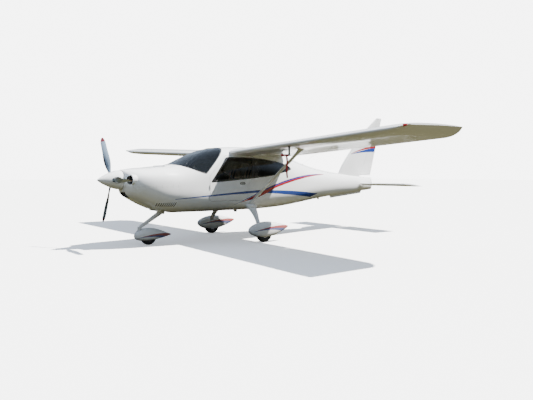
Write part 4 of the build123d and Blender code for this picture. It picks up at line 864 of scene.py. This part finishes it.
# %% Building a node tree
def geometry_tree(name, inputs):
    """A Geometry Nodes tree with a geometry input, named inputs and a material."""
    tree = bpy.data.node_groups.new(name, "GeometryNodeTree")
    tree.interface.new_socket("Geometry", in_out="INPUT", socket_type="NodeSocketGeometry")
    for title, default in inputs.items():
        kind = "NodeSocketInt" if isinstance(default, int) else "NodeSocketFloat"
        tree.interface.new_socket(title, in_out="INPUT", socket_type=kind).default_value = default
    tree.interface.new_socket("Material", in_out="INPUT", socket_type="NodeSocketMaterial")
    tree.interface.new_socket("Geometry", in_out="OUTPUT", socket_type="NodeSocketGeometry")
    return tree, tree.nodes.new("NodeGroupInput").outputs


def end_tree(tree, inputs, geometry):
    """Every tree's last nodes: real geometry, then its material."""
    real = add_node(tree, "GeometryNodeRealizeInstances", Geometry=geometry)
    painted = add_node(tree, "GeometryNodeSetMaterial", Geometry=real.outputs[0], Material=inputs["Material"])
    add_node(tree, "NodeGroupOutput", Geometry=painted.outputs[0])
    print(f"tree {tree.name}: {len(tree.nodes)} nodes")


def turn_to(tree, axis, direction):
    """The rotation that turns an axis of a thing to a direction."""
    return add_node(tree, "FunctionNodeAlignRotationToVector", {"axis": axis}, Vector=direction).outputs[0]


def on_points(tree, points, thing, rotation):
    return add_node(tree, "GeometryNodeInstanceOnPoints", Points=points, Instance=thing,
                    Rotation=rotation).outputs[0]


# %% Growing a tree on a line
def grow(name, line, tree, finish, body="airframe", slot=None, **values):
    """Runs a tree on a line of points and keeps the result as a plain mesh on a body."""
    modifier = line.modifiers.new("grow", "NODES")
    modifier.node_group = tree
    sockets = {item.name: item.identifier for item in tree.interface.items_tree if item.in_out == "INPUT"}
    for title, value in {"Material": finish, **values}.items():
        modifier[sockets[title]] = value
    mesh = evaluated_mesh(line)
    line.modifiers.remove(modifier)
    bpy.data.objects.remove(line)
    return place_mesh(name, mesh, finish, body)


def facing_line(paths):
    """An object of edges through (place, facing) pairs, with the facing kept at each point."""
    places = [place for path in paths for place, _ in path]
    facings = [facing for path in paths for _, facing in path]
    edges, start = [], 0
    for path in paths:
        edges += [(start + k, start + k + 1) for k in range(len(path) - 1)]
        start += len(path)
    mesh = bpy.data.meshes.new("line")
    mesh.from_pydata(places, edges, [])
    kept = mesh.attributes.new("facing", "FLOAT_VECTOR", "POINT")
    kept.data.foreach_set("vector", np.array([tuple(v) for v in facings]).ravel())
    return new_object("line", mesh)


# %% The row of heads
row_tree, i = geometry_tree("row_of_heads", {"Spacing": 0.08, "Radius": 0.004, "Height": 0.0015,
                                             "Recess": 0.5})
curve = add_node(row_tree, "GeometryNodeMeshToCurve", Mesh=i["Geometry"])
points = add_node(row_tree, "GeometryNodeResampleCurve", {"mode": "LENGTH"}, Curve=curve.outputs[0],
                  Length=i["Spacing"])
facing = add_node(row_tree, "GeometryNodeInputNamedAttribute", {"data_type": "FLOAT_VECTOR"}, Name="facing")
head = add_node(row_tree, "GeometryNodeMeshCone", {"fill_type": "NGON"}, Vertices=14, Depth=i["Height"],
                Radius_Top=Flow(i["Radius"]) * 0.72, Radius_Bottom=i["Radius"])
rim = add_node(row_tree, "GeometryNodeExtrudeMesh", Mesh=head.outputs["Mesh"], Selection=head.outputs["Top"],
               Offset_Scale=0.0)
inset = add_node(row_tree, "GeometryNodeScaleElements", Geometry=rim.outputs["Mesh"],
                 Selection=rim.outputs["Top"], Scale=i["Recess"])
sunk = add_node(row_tree, "GeometryNodeExtrudeMesh", Mesh=inset.outputs[0], Selection=rim.outputs["Top"],
                Offset_Scale=Flow(i["Height"]) * -0.6)
end_tree(row_tree, i, on_points(row_tree, points.outputs[0], sunk.outputs["Mesh"],
                                turn_to(row_tree, "Z", facing.outputs[0])))

# %% The bead along edges
bead_tree, i = geometry_tree("bead_along_edges", {"Radius": 0.004, "Step": 0.02})
curve = add_node(bead_tree, "GeometryNodeMeshToCurve", Mesh=i["Geometry"])
even = add_node(bead_tree, "GeometryNodeResampleCurve", {"mode": "LENGTH"}, Curve=curve.outputs[0],
                Length=i["Step"])
ring = add_node(bead_tree, "GeometryNodeCurvePrimitiveCircle", Resolution=8, Radius=i["Radius"])
swept = add_node(bead_tree, "GeometryNodeCurveToMesh", Curve=even.outputs[0],
                 Profile_Curve=ring.outputs["Curve"], Fill_Caps=True)
end_tree(bead_tree, i, swept.outputs[0])


# %% Lines on the skin
def side_path(skin, side, from_place, to_place, count=12):
    """Points on one side of the body between two (station, height) places."""
    path = []
    for share in np.linspace(0, 1, count):
        station, height = (a + (b - a) * share for a, b in zip(from_place, to_place))
        path.append(meet(skin, at(station, side * 1.2, height), LEFT * -side))
    return path


def ring_path(skin, station, centre, from_angle, to_angle, count=24, away=0.4):
    """Points round a (sideways, height) centre at a station, between angles from straight up."""
    path = []
    for angle in np.linspace(radians(from_angle), radians(to_angle), count):
        outward = Vector((0, sin(angle), cos(angle)))
        path.append(meet(skin, at(station, *centre) + outward * away, -outward))
    return path


def screw_rows(name, rows, spacing, radius=0.0045, height=0.002, body="airframe"):
    """Steel screw heads along rows on a skin."""
    grow(name, facing_line(rows), row_tree, BARE_STEEL, body, Spacing=spacing, Radius=radius, Height=height)


# %% [markdown]
# ## Cowl
# The two halves of the cowl are held by quarter-turn screws along the split and round
# the rear edge. A small door on top gives access to the oil filler. Low on each side a
# row of slanted louvres lets the hot air out. The screws are the row tree on lines that
# rays find on the cowl. The door and the louvres could be flat boxes, but those would
# stand off the curve, so they are plates laid on the skin: a black plate, the painted
# shade of the slot, with a raised hood behind it makes one louvre.

# %% Cowl screws
cowl = skin_of("cowl_upper", "cowl_lower")
split_rows = [side_path(cowl, side, (0.50, z), (1.21, z)) for side in SIDES.values() for z in (1.016, 1.044)]
screw_rows("cowl_split_screws", split_rows, 0.088)
screw_rows("cowl_rear_screws", [ring_path(cowl, 1.228, (0, 1.0), -158, 158, 80, 1.2)], 0.105)

# %% Oil door
form = bmesh.new()
laid_plate(form, cowl, at(0.86, 0.24, 1.3), (0, -0.35, -1), FORWARD, 0.075, 0.055, 0.0016, 6.0)
make_piece("oil_door", form, white_gelcoat)
form = bmesh.new()
for station in (0.82, 0.90):
    place, normal = meet(cowl, at(station, 0.275, 1.5), (0, -0.1, -1))
    turned(form, [(0, 0.008), (0.0028, 0.008), (0.0034, 0.006), (0.0034, 0.0)], place, normal)
make_piece("oil_door_latches", form, BARE_STEEL)

# %% Louvres
LOUVRES, LOUVRE_PITCH, LOUVRE_SLANT = 10, 0.032, Vector((-0.32, 0, 1))
# Each slot is a black plate laid on the skin: the painted shade of the opening.
slot_shades, hoods = bmesh.new(), bmesh.new()
for side in SIDES.values():
    for k in range(LOUVRES):
        place, normal = meet(cowl, at(0.885 + LOUVRE_PITCH * k, side * 1.2, 0.715), LEFT * -side)
        laid_plate(slot_shades, cowl, place, -normal, LOUVRE_SLANT, 0.054, 0.0085, 0.0008, 2.6, 20)
        laid_plate(hoods, cowl, place + FORWARD * 0.0125, -normal, LOUVRE_SLANT, 0.052, 0.0042, 0.0050, 2.2,
                   20)
make_piece("louvre_slot_shades", slot_shades, BLACK_PLASTIC)
make_piece("louvre_hoods", hoods, white_gelcoat)

# %% [markdown]
# The cowl's lower rear edge turns down into a lip. It lets the cooling air out behind it
# and pulls it through the engine bay. It is a shallow wedge lofted under the belly, with
# a black plate on its rear face as the painted shade of the outlet's opening.

# %% Outlet lip
lip, opening_shade = bmesh.new(), bmesh.new()
sections = []
for station, drop in ((1.02, 0.002), (1.10, 0.010), (1.18, 0.021), (1.246, 0.030)):
    under, _ = meet(cowl, at(min(station, 1.244), 0.10, 0.2), UP)
    sections.append((at(station, 0, under.z + 0.012 - drop), FORWARD, LEFT, 0.235, 0.016 + 0.2 * drop))
lofted(lip, sections, 5.0)
make_piece("outlet_lip", lip, white_gelcoat)
place, along, across, half_wide, half_deep = sections[-1]
# A black plate on the rear face is the painted shade of the outlet's opening.
block(opening_shade, place, along, across, half_wide * 0.93, half_deep * 0.68, ((0.002, 1), (-0.0012, 1)), 5.0)
make_piece("outlet_shade_plate", opening_shade, BLACK_PLASTIC)

# %% [markdown]
# ## Spinner
# The spinner is screwed to its backplate through a ring of countersunk screws, and each
# blade comes out through an oval hole with a dark edge. Four oval loops, dropped onto the
# spinner from the blade's side and joined in a ring, give an edge that fits its curve.
# These pieces ride on the propeller, so they turn with it.

# %% Spinner screws and blade seals
spinner = skin_of("spinner")
screw_rows("spinner_screws", [ring_path(spinner, 0.386, (0, PROP_Z), 0, 360, 64, 1.2)], 0.083, 0.004, 0.0016,
           "propeller")
form = bmesh.new()
for k in range(3):
    blade = Vector((0, cos(k * BLADE_TURN), sin(k * BLADE_TURN)))
    rings = []
    for share, lift in ((0.86, -0.002), (0.86, 0.0026), (1.0, 0.0026), (1.0, -0.002)):
        ring = []
        for u, v in oval(share * 0.074, share * 0.052, 2.2, 32):
            spot = at(0.300, 0, PROP_Z) + FORWARD * u + blade.cross(FORWARD) * v
            place, normal = meet(spinner, spot + blade * 0.5, -blade)
            ring.append(form.verts.new(place + normal * lift))
        rings.append(ring)
    join_rings(form, [*rings, rings[0]], close_ends=False)
make_piece("blade_seals", form, RUBBER, "propeller")

# %% [markdown]
# ## Window seals
# Every pane sits in a black rubber bead. The bead follows the pane's own outer edge, and
# the pane is already there. So its edge is found, not drawn again: the edges between the
# outer face and the rim, where the surface turns sharply. The bead tree sweeps a small
# circle along them. The seals of the doors ride on the doors.


# %% Finding a pane's edge
def outer_edge(node, middle):
    """An object of the edges where a pane's outer face turns into its rim."""
    form = bmesh.new()
    form.from_mesh(nodes[node].data)
    bmesh.ops.remove_doubles(form, verts=form.verts, dist=1e-5)
    bmesh.ops.recalc_face_normals(form, faces=form.faces)
    kept = []
    for edge in form.edges:
        if len(edge.link_faces) != 2:
            continue
        outward = [face.normal.dot((face.calc_center_median() - middle).normalized())
                   for face in edge.link_faces]
        if edge.calc_face_angle() > radians(45) and max(outward) > 0.45 and min(outward) < 0.6:
            kept.append(edge)
    places = {}
    for edge in kept:
        for vertex in edge.verts:
            places.setdefault(vertex, len(places))
    mesh = bpy.data.meshes.new("edge")
    mesh.from_pydata([v.co.copy() for v in places], [[places[v] for v in e.verts] for e in kept], [])
    form.free()
    return new_object("edge", mesh)


# %% Seals
for node, body, middle, radius in (
    ("windshield", "airframe", at(2.3, 0, 1.0), 0.0085),
    ("quarter_windows", "airframe", at(3.1, 0, 1.2), 0.0045),
    ("door_glass_left", "door_left", at(2.3, 0, 1.2), 0.0045),
    ("door_glass_right", "door_right", at(2.3, 0, 1.2), 0.0045),
):
    grow(f"{node}_seal", outer_edge(node, middle), bead_tree, RUBBER, body, Radius=radius, Step=0.015)

# %% [markdown]
# ## Door handles and small covers
# A flush handle sits in a black tray on each door, with a key lock behind it. The fuel
# caps are thin plates laid on the skin. The round inspection covers under the wings are
# the row tree once more, with a wide, shallow head and a long spacing. The handles ride
# on the doors.

# %% Door handles
HANDLE_Z = 1.067
for side, sign in SIDES.items():
    door, inward = skin_of(f"door_{side}"), LEFT * -sign
    form = bmesh.new()
    laid_plate(form, door, at(2.486, sign * 0.6, HANDLE_Z), inward, FORWARD, 0.056, 0.019, 0.0018, 5.0)
    make_piece(f"handle_tray_{side}", form, BLACK_PLASTIC, f"door_{side}")
    form = bmesh.new()
    place, normal = meet(door, at(2.478, sign * 1.2, HANDLE_Z), inward)
    block(form, place, normal, FORWARD, 0.040, 0.009, ((0.0005, 1), (0.005, 1), (0.0075, 0.85)), 5.0)
    lock, normal = meet(door, at(2.528, sign * 1.2, HANDLE_Z), inward)
    turned(form, [(0.0, 0.007), (0.004, 0.007), (0.005, 0.006), (0.004, 0.0015)], lock, normal)
    make_piece(f"door_handle_{side}", form, BARE_STEEL, f"door_{side}")

# %% Fuel caps
wing = skin_of("wings")
caps, tabs = bmesh.new(), bmesh.new()
for side in SIDES.values():
    laid_plate(caps, wing, at(2.66, side * 1.02, 1.7), -UP, FORWARD, 0.048, 0.048, 0.004)
    place, normal = meet(wing, at(2.66, side * 1.02, 2.2), -UP)
    block(tabs, place, normal, FORWARD, 0.026, 0.006, ((0.003, 1), (0.007, 1)), 4.0)
make_piece("fuel_caps", caps, ALLOY)
make_piece("fuel_cap_tabs", tabs, BARE_STEEL)

# %% Inspection covers under the wings
rows = []
for side in SIDES.values():
    path = [meet(wing, at(3.02, side * y, 1.2), UP) for y in np.linspace(0.95, 3.95, 24)]
    rows.append([(place - normal * 0.0002, normal) for place, normal in path])
grow("wing_inspection_covers", facing_line(rows), row_tree, WHITE_PLASTIC, Spacing=0.62, Radius=0.055,
     Height=0.0030, Recess=0.9)

# %% [markdown]
# ## Cuffs and fairings
# Where a strut or a leg meets a surface, a flared cuff closes the joint. Each is a loft
# of ovals along the strut's own line, wider where it meets the surface.


# %% Strut cuffs
def cuff(form, start, end, half_width, half_depth, flare, steps=7):
    """Adds a cuff round a bar: it fits the bar at its start and flares towards its end."""
    sections = []
    for share in np.linspace(0, 1, steps):
        grown = 1 + (flare - 1) * share ** 2
        sections.append((start.lerp(end, share), end - start, FORWARD, half_width * grown,
                         half_depth * grown))
    lofted(form, sections)


form = bmesh.new()
for side in SIDES.values():
    low_end, high_end = at(2.70, side * 0.500, 0.664), at(2.70, side * 2.060, 1.699)
    line = (high_end - low_end).normalized()
    cuff(form, high_end - line * 0.26, high_end - line * 0.055, 0.042, 0.017, 1.9)
    cuff(form, low_end + line * 0.115, low_end + line * 0.005, 0.042, 0.017, 1.5)
make_piece("strut_cuffs", form, white_gelcoat)

# %% Leg fairings
form = bmesh.new()
for side in SIDES.values():
    cuff(form, at(2.715, side * 0.600, 0.622), at(2.715, side * 0.490, 0.672), 0.104, 0.030, 1.18)
cuff(form, at(1.075, 0, 0.535), at(1.165, 0, 0.592), 0.046, 0.024, 1.35)
make_piece("leg_fairings", form, leg_gelcoat)

# %% [markdown]
# ## Antennas
# A whip on the spine, a blade and a stub under the belly, and a small dome on the roof.
# The whip is a bent rod, so it is a curve with a round section. The blades are lofts that
# lean aft, and the dome is turned. Each foot stands where a ray meets the skin, and so
# stays on it when the body changes.

# %% Antennas
body_skin = skin_of("cabin_shell", "tail_cone")
foot, normal = meet(body_skin, at(4.447, 0, 2.4), -UP)
turned_piece("whip_foot", [(-0.004, 0.022), (0.004, 0.022), (0.010, 0.016), (0.026, 0.007), (0.030, 0.0)],
             foot, normal, BLACK_PLASTIC)
tube("whip_antenna", [foot + UP * 0.01, at(4.60, 0, 1.545), at(4.82, 0, 1.672), at(5.07, 0, 1.78)], 0.0022,
     WHITE_PLASTIC)
form = bmesh.new()
for station, height, chord in ((2.71, 0.055, 0.048), (4.90, 0.045, 0.036)):
    root, _ = meet(body_skin, at(station, 0, 0.2), UP)
    lofted(form, [(root + Vector((-0.25 * drop, 0, 0.004 - drop)), -UP, FORWARD, chord * size, 0.007 * size)
                  for drop, size in ((0, 1.0), (height * 0.5, 0.85), (height * 0.9, 0.66), (height, 0.45))])
make_piece("belly_antennas", form, BLACK_PLASTIC)
dome, normal = meet(body_skin, at(3.35, 0, 2.4), -UP)
turned_piece("roof_antenna", [(-0.003, 0.045), (0.004, 0.045), (0.011, 0.038), (0.016, 0.022), (0.017, 0.0)],
             dome, normal, WHITE_PLASTIC)

# %% [markdown]
# ## Tail
# A white position light closes the end of the tail cone, and a row of screws on each
# side holds the root of the fin. The light is two turned forms about the skin's own
# normal: a black seat and a domed lens.

# %% Tail light and fin screws
tail = skin_of("tail_cone")
end, normal = meet(tail, at(7.5, 0, 1.10), FORWARD)
turned_piece("tail_light_seat", [(-0.004, 0.024), (0.004, 0.024), (0.006, 0.021)], end, normal, BLACK_PLASTIC)
turned_piece("tail_light", [(0.002, 0.019), (0.012, 0.018), (0.020, 0.012), (0.023, 0.0)], end, normal,
             WHITE_PLASTIC)
fin_rows = [side_path(tail, side, (5.62, 1.165), (6.38, 1.105)) for side in SIDES.values()]
screw_rows("fin_root_screws", fin_rows, 0.11)

# %% [markdown]
# ## Wheels and legs
# A brake pipe runs down the trailing edge of each main leg: a tube through points that
# rays from behind find on the leg. The wheel fairings are made of two halves, screwed
# together behind the wheel, so their screws follow rings round the fairing. The nose
# fairing's screws steer with the fork.

# %% Brake pipes
legs = skin_of("main_legs")
for side, sign in SIDES.items():
    points = []
    for y in np.linspace(0.56, 0.80, 8):
        height = np.interp(y, (0.56, 0.70, 0.815), (0.605, 0.488, 0.345))
        points.append(meet(legs, at(3.3, sign * y, height), FORWARD)[0] - FORWARD * 0.003)
    tube(f"brake_pipe_{side}", points, 0.003, BLACK_PLASTIC)

# %% Fairing screws
main_fairing, nose_fairing = skin_of("main_pants"), skin_of("nose_pant")
screw_rows("main_fairing_screws", [ring_path(main_fairing, station, (side * 0.92, 0.23), -70, 70)
                                   for side in SIDES.values() for station in (2.935, 2.965)],
           0.05, 0.0035, 0.0015)
screw_rows("nose_fairing_screws", [ring_path(nose_fairing, 1.06, (0, 0.18), -75, 75)], 0.045, 0.0035, 0.0015,
           "nose_fork")

# %% [markdown]
# ## Seats
# The two seats are foam in cloth covers. Sewn covers look right when they swell the way
# a stuffed bag does: tight in the middle, pulled in at the seams. So each pad starts as a
# slightly small rounded block. It is remeshed to an even grid and simulated as cloth
# with air pressure inside. The movement is capped so that it stays in the seat's space.
# One cushion and one back are simulated, and the other seat is a copy.


# %% Swelling a pad
def even_mesh(form, voxel=0.008):
    """A mesh of even small faces from a bmesh, by voxel remesh."""
    rough = new_object("block", plain_mesh("block", form))
    remesh = rough.modifiers.new("remesh", "REMESH")
    remesh.mode, remesh.voxel_size = "VOXEL", voxel
    fine = evaluated_mesh(rough)
    bpy.data.objects.remove(rough)
    return fine


def swell(mesh, most):
    """Swells a closed mesh as cloth under air pressure, no point moving further than most."""
    bag = new_object("bag", mesh)
    rest = np.array([v.co for v in mesh.vertices])
    cloth = bag.modifiers.new("cloth", "CLOTH")
    cloth.settings.use_pressure = True
    cloth.settings.uniform_pressure_force = 4.0
    cloth.settings.effector_weights.gravity = 0.0
    for step in range(1, 21):
        bpy.context.scene.frame_set(step)
    swollen = bag.evaluated_get(bpy.context.evaluated_depsgraph_get())
    move = np.array([v.co for v in swollen.data.vertices]) - rest
    length = np.maximum(np.linalg.norm(move, axis=1), 1e-9)
    rest = rest + move * np.minimum(1.0, most / length)[:, None]
    bag.modifiers.remove(cloth)
    bpy.context.scene.frame_set(1)
    bpy.data.objects.remove(bag)
    mesh.vertices.foreach_set("co", rest.ravel())
    return mesh


def crease(mesh, depth, width, lines):
    """Sews channels: points near a line are drawn in along their normal."""
    co = np.array([v.co for v in mesh.vertices])
    normals = np.array([v.normal for v in mesh.vertices])
    for axis, value in lines:
        near = np.exp(-((co[:, axis] - value) / width) ** 2)
        co -= normals * (near * depth)[:, None]
    mesh.vertices.foreach_set("co", co.ravel())
    mesh.update()


# %% Cushions
SEAT_Y = 0.268
CUSHION_LOW, CUSHION_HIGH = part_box("seat_cushions")
MARGIN = 0.012
cushion_middle = (CUSHION_LOW + CUSHION_HIGH) / 2
half_long = (CUSHION_HIGH.x - CUSHION_LOW.x) / 2 - MARGIN
half_wide = (CUSHION_HIGH.y - SEAT_Y) - MARGIN
form = bmesh.new()
layers = [(CUSHION_LOW.z + 0.004, 0.97), (CUSHION_LOW.z + 0.02, 1.0), (CUSHION_HIGH.z - 0.035, 1.0),
          (CUSHION_HIGH.z - 0.018, 0.94)]
block(form, Vector((cushion_middle.x, SEAT_Y, 0)), UP, FORWARD, half_long, half_wide, layers, 5.0, 48)
cushion_mesh = swell(even_mesh(form), 0.011)
crease(cushion_mesh, 0.008, 0.007, [(0, cushion_middle.x + 0.09), (0, cushion_middle.x - 0.07),
                                    (1, SEAT_Y - 0.125), (1, SEAT_Y + 0.125)])
print("cushion", len(cushion_mesh.vertices), "points")

# %% Backs
LEAN = radians(15)
back_up = Vector((-sin(LEAN), 0, cos(LEAN)))
back_out = Vector((cos(LEAN), 0, sin(LEAN)))
back_foot = at(2.757, SEAT_Y, 0.89)
form = bmesh.new()
wide = (0.94, 1.0, 1.0, 0.95, 0.80, 0.50, 0.42, 0.56, 0.60, 0.50)
up = (0.012, 0.05, 0.30, 0.40, 0.445, 0.462, 0.48, 0.50, 0.545, 0.573)
lofted(form, [(back_foot + back_up * height - back_out * 0.047, back_up, LEFT, half_wide * share, 0.034)
              for share, height in zip(wide, up)], 4.0, 48)
back_mesh = swell(even_mesh(form), 0.010)
print("back", len(back_mesh.vertices), "points")

# %% Both seats
for side, sign in SIDES.items():
    for kind, mesh in (("cushion", cushion_mesh), ("back", back_mesh)):
        own = mesh.copy()
        if sign < 0:
            own.transform(Matrix.Translation(LEFT * (-2 * SEAT_Y)))
        pad = place_mesh(f"seat_{kind}_{side}", own, SEAT_CLOTH)
        finer = pad.modifiers.new("finer", "SUBSURF")
        finer.levels = finer.render_levels = 1
        smooth = evaluated_mesh(pad)
        pad.modifiers.remove(finer)
        pad.data = smooth
        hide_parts(f"seat_{kind}s")

# %% [markdown]
# ## Belts
# Each seat has a lap belt with a buckle and two shoulder straps. Webbing is flat and
# stiff across its width, so it is modelled directly as a ribbon that follows points on
# the cushion and the back.


# %% Ribbons
def ribbon(name, places, across, width, thick=0.0024):
    """A strap through places, its width lying along a direction."""
    form = bmesh.new()
    aheads = [b - a for a, b in zip([places[0], *places], [*places[1:], places[-1]])]
    lofted(form, [(place, ahead, across, width / 2, thick / 2) for place, ahead in zip(places, aheads)],
           6.0, 16)
    return make_piece(name, form, WEBBING)


for side, sign in SIDES.items():
    middle = sign * SEAT_Y
    lap = [Vector((cushion_middle.x - 0.17 + 0.05 * cos(a), middle + 0.20 * sin(a),
                   CUSHION_HIGH.z + 0.012 - 0.05 * abs(sin(a)) ** 3))
           for a in np.linspace(-pi / 2, pi / 2, 17)]
    ribbon(f"lap_belt_{side}", lap, (1, 0, 0.2), 0.045)
    for strap, offset in (("inner", -0.065), ("outer", 0.065)):
        rise = [back_foot + back_up * h + back_out * 0.012 + LEFT * (middle - SEAT_Y + offset * (0.4 + h))
                for h in np.linspace(0.03, 0.44, 9)]
        ribbon(f"shoulder_strap_{strap}_{side}", rise, LEFT, 0.042)
    buckle = Vector((cushion_middle.x - 0.115, middle, CUSHION_HIGH.z + 0.016))
    form = bmesh.new()
    block(form, buckle, UP, LEFT, 0.030, 0.024, ((0.0, 1), (0.010, 1), (0.014, 0.85)), 4.0)
    make_piece(f"belt_buckle_{side}", form, BARE_STEEL)

# %% [markdown]
# ## Instrument panel
# The panel carries six round dials before the left seat, three before the right one, a
# dark screen and a stack of blank radio faces between them. A dial is a turned bezel with
# a black face, a ring of white ticks and a needle. The ticks stand round a circle at
# equal angles, so Geometry Nodes make them: a circle is the line and a short bar the head.

# %% The ring of ticks
tick_tree, i = geometry_tree("ring_of_ticks", {"Ticks": 24, "Ring": 0.03, "Length": 0.005})
circle = add_node(tick_tree, "GeometryNodeMeshCircle", Vertices=i["Ticks"], Radius=i["Ring"])
place_now = add_node(tick_tree, "GeometryNodeInputPosition")
size = add_node(tick_tree, "ShaderNodeCombineXYZ", X=i["Length"], Y=0.0012, Z=0.0006)
bar = add_node(tick_tree, "GeometryNodeMeshCube", Size=size.outputs[0])
ticks = on_points(tick_tree, circle.outputs[0], bar.outputs["Mesh"],
                  turn_to(tick_tree, "X", place_now.outputs[0]))
end_tree(tick_tree, i, on_points(tick_tree, i["Geometry"], ticks, turn_to(tick_tree, "Z", (-1.0, 0.0, 0.0))))

# %% Dials
PANEL_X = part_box("instrument_panel")[0].x
AFT = -FORWARD
dials = [(y, z, 0.040) for y in (0.42, 0.32, 0.22) for z in (1.165, 1.065)]
dials += [(-0.24, z, 0.036) for z in (1.165, 1.075)] + [(-0.335, z, 0.030) for z in (1.165, 1.085)]
bezels, faces, needles = bmesh.new(), bmesh.new(), bmesh.new()
for k, (y, z, radius) in enumerate(dials):
    centre = Vector((PANEL_X, y, z))
    turned(bezels, [(-0.002, radius), (0.006, radius), (0.007, radius - 0.002), (0.007, radius - 0.004),
                    (0.003, radius - 0.006)], centre, AFT, 32)
    turned(faces, [(0.0034, radius - 0.0055), (0.0037, radius - 0.0055)], centre, AFT, 32)
    hand = Vector((0, sin(0.9 * k + 0.6), cos(0.9 * k + 0.6)))
    reaches = ((-0.008, 0.0012), (radius - 0.014, 0.0012), (radius - 0.008, 0.0003))
    lofted(needles, [(centre + AFT * 0.0048 + hand * reach, hand, AFT, 0.0005, half)
                     for reach, half in reaches], 2.0, 8)
make_piece("dial_bezels", bezels, BLACK_PLASTIC)
make_piece("dial_faces", faces, RUBBER)
make_piece("dial_needles", needles, WHITE_MARK)
dial_points = facing_line([[(Vector((PANEL_X - 0.004, y, z)), AFT)] for y, z, _ in dials])
grow("dial_ticks", dial_points, tick_tree, WHITE_MARK, Ticks=24, Ring=0.0265, Length=0.005)

# %% Screen, radios and knobs
screen_glass = grained("screen_glass", (0.008, 0.010, 0.014), (0.02, 0.022, 0.026), 0.12, 300.0, 0.02, 0.2)
form, glazed, knobs = bmesh.new(), bmesh.new(), bmesh.new()
centre = Vector((PANEL_X, 0.02, 1.125))
block(form, centre, AFT, LEFT, 0.115, 0.085, ((-0.002, 1), (0.008, 1), (0.010, 0.98)), 9.0)
block(glazed, centre, AFT, LEFT, 0.104, 0.073, ((0.008, 1), (0.0108, 1)), 12.0)
for k in range(3):
    centre = Vector((PANEL_X, -0.145, 1.185 - 0.052 * k))
    block(form, centre, AFT, LEFT, 0.045, 0.022, ((-0.002, 1), (0.006, 1)), 8.0)
    for y in (-0.036, 0.036):
        turned(knobs, [(0.005, 0.007), (0.018, 0.0065), (0.019, 0.0055)], centre + LEFT * y, AFT, 16)
for y in (-0.03, 0.03):
    turned(knobs, [(0.0, 0.005), (0.045, 0.005), (0.046, 0.014), (0.052, 0.016), (0.066, 0.016),
                   (0.070, 0.012)], Vector((PANEL_X, y, 0.985)), AFT)
make_piece("radio_faces", form, BLACK_PLASTIC)
make_piece("screen", glazed, screen_glass)
make_piece("panel_knobs", knobs, ALLOY)

# %% [markdown]
# A padded roll closes the panel's top edge: a tube along points that rays from above find
# on the panel. The sticks have ribbed rubber grips, turned from a profile whose radius
# steps in and out, and each seat has two pedals on slanted arms.

# %% Glare shield roll, grips and pedals
panel_skin = skin_of("instrument_panel")
tube("glare_shield_roll", [meet(panel_skin, (PANEL_X + 0.01, y, 1.6), -UP)[0] + Vector((-0.012, 0, 0.002))
                           for y in np.linspace(-0.50, 0.50, 15)], 0.013, BLACK_PLASTIC)
stick_low, stick_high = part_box("control_stick")
stick_x = (stick_low.x + stick_high.x) / 2
grips, pedals = bmesh.new(), bmesh.new()
for sign in SIDES.values():
    foot = Vector((stick_x, sign * 0.205, stick_high.z - 0.125))
    ribs = [(0.125 * k / 12, 0.0175 + 0.0012 * (k % 2)) for k in range(13)]
    turned(grips, [*ribs, (0.131, 0.014), (0.133, 0.006)], foot, UP)
    for y in (0.15, 0.30):
        pad = at(1.50, sign * y, 0.80)
        block(pedals, pad, Vector((1, 0, 0.4)), LEFT, 0.038, 0.045, ((-0.006, 1), (0.006, 1)), 5.0)
        turned(pedals, [(0.0, 0.008), (0.16, 0.008)], pad, (0.35, 0, -1), 12)
make_piece("stick_grips", grips, RUBBER)
make_piece("rudder_pedals", pedals, ALLOY)

# %% [markdown]
# ## Pitot cover
# The pitot tube under the left wing wears its parking cover: a sewn red sleeve with a
# long streamer, so that nobody takes off with it on. The sleeve is turned, a little
# uneven along its length as sewn cloth is. The streamer is a narrow strip of cloth that
# hangs from the sleeve. It could be simulated, but a strip this narrow only twists, so it
# is built from rows of points with a twist that grows towards its free end.

# %% Sleeve
cover_low, cover_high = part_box("pitot_cover")
sleeve_r = (cover_high.y - cover_low.y) / 2
sleeve_y = (cover_high.y + cover_low.y) / 2
length = cover_high.x - cover_low.x
profile = [(0.0, 0.004), (0.003, 0.6 * sleeve_r), (0.010, 0.9 * sleeve_r), (0.03, 0.98 * sleeve_r),
           (0.6 * length, 0.93 * sleeve_r), (0.8 * length, 0.98 * sleeve_r),
           (length - 0.003, 0.95 * sleeve_r), (length, 0.80 * sleeve_r)]
sleeve = turned_piece("pitot_sleeve", profile, Vector((cover_high.x, sleeve_y, cover_high.z - sleeve_r)), AFT,
                      COVER_CLOTH)
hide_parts("pitot_cover")

# %% Streamer
STREAMER_WIDTH = 0.038
STREAMER_TOP = cover_high.z - 2 * sleeve_r
STREAMER_DROP = STREAMER_TOP - cover_low.z
STRIPS, STEPS, HALF_THICK = 4, 36, 0.0004
form = bmesh.new()
rings = []
for share in np.linspace(0, 1, STEPS + 1):
    twist = 0.22 * sin(2.6 * pi * share) * share
    across, thick = Vector((cos(twist), sin(twist), 0)), Vector((-sin(twist), cos(twist), 0)) * HALF_THICK
    middle = Vector((NOSE_X - 2.266 - 0.012 * share, sleeve_y + 0.006 * sin(2.1 * pi * share),
                     STREAMER_TOP + 0.002 - share * (STREAMER_DROP - 0.004)))
    row = [middle + across * (off * STREAMER_WIDTH) for off in np.linspace(-0.5, 0.5, STRIPS + 1)]
    rings.append([form.verts.new(place) for place in
                  [*(spot + thick for spot in row), *(spot - thick for spot in reversed(row))]])
join_rings(form, rings)
streamer = make_piece("pitot_streamer", form, COVER_CLOTH)

# %% [markdown]
# ## Size
# How far the dressed model reaches past the solid one's box, below and above, is printed.

# %% Size and finish
low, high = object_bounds()
print("grew by", [round(v, 4) for v in cad_low - low], [round(v, 4) for v in high - cad_high])
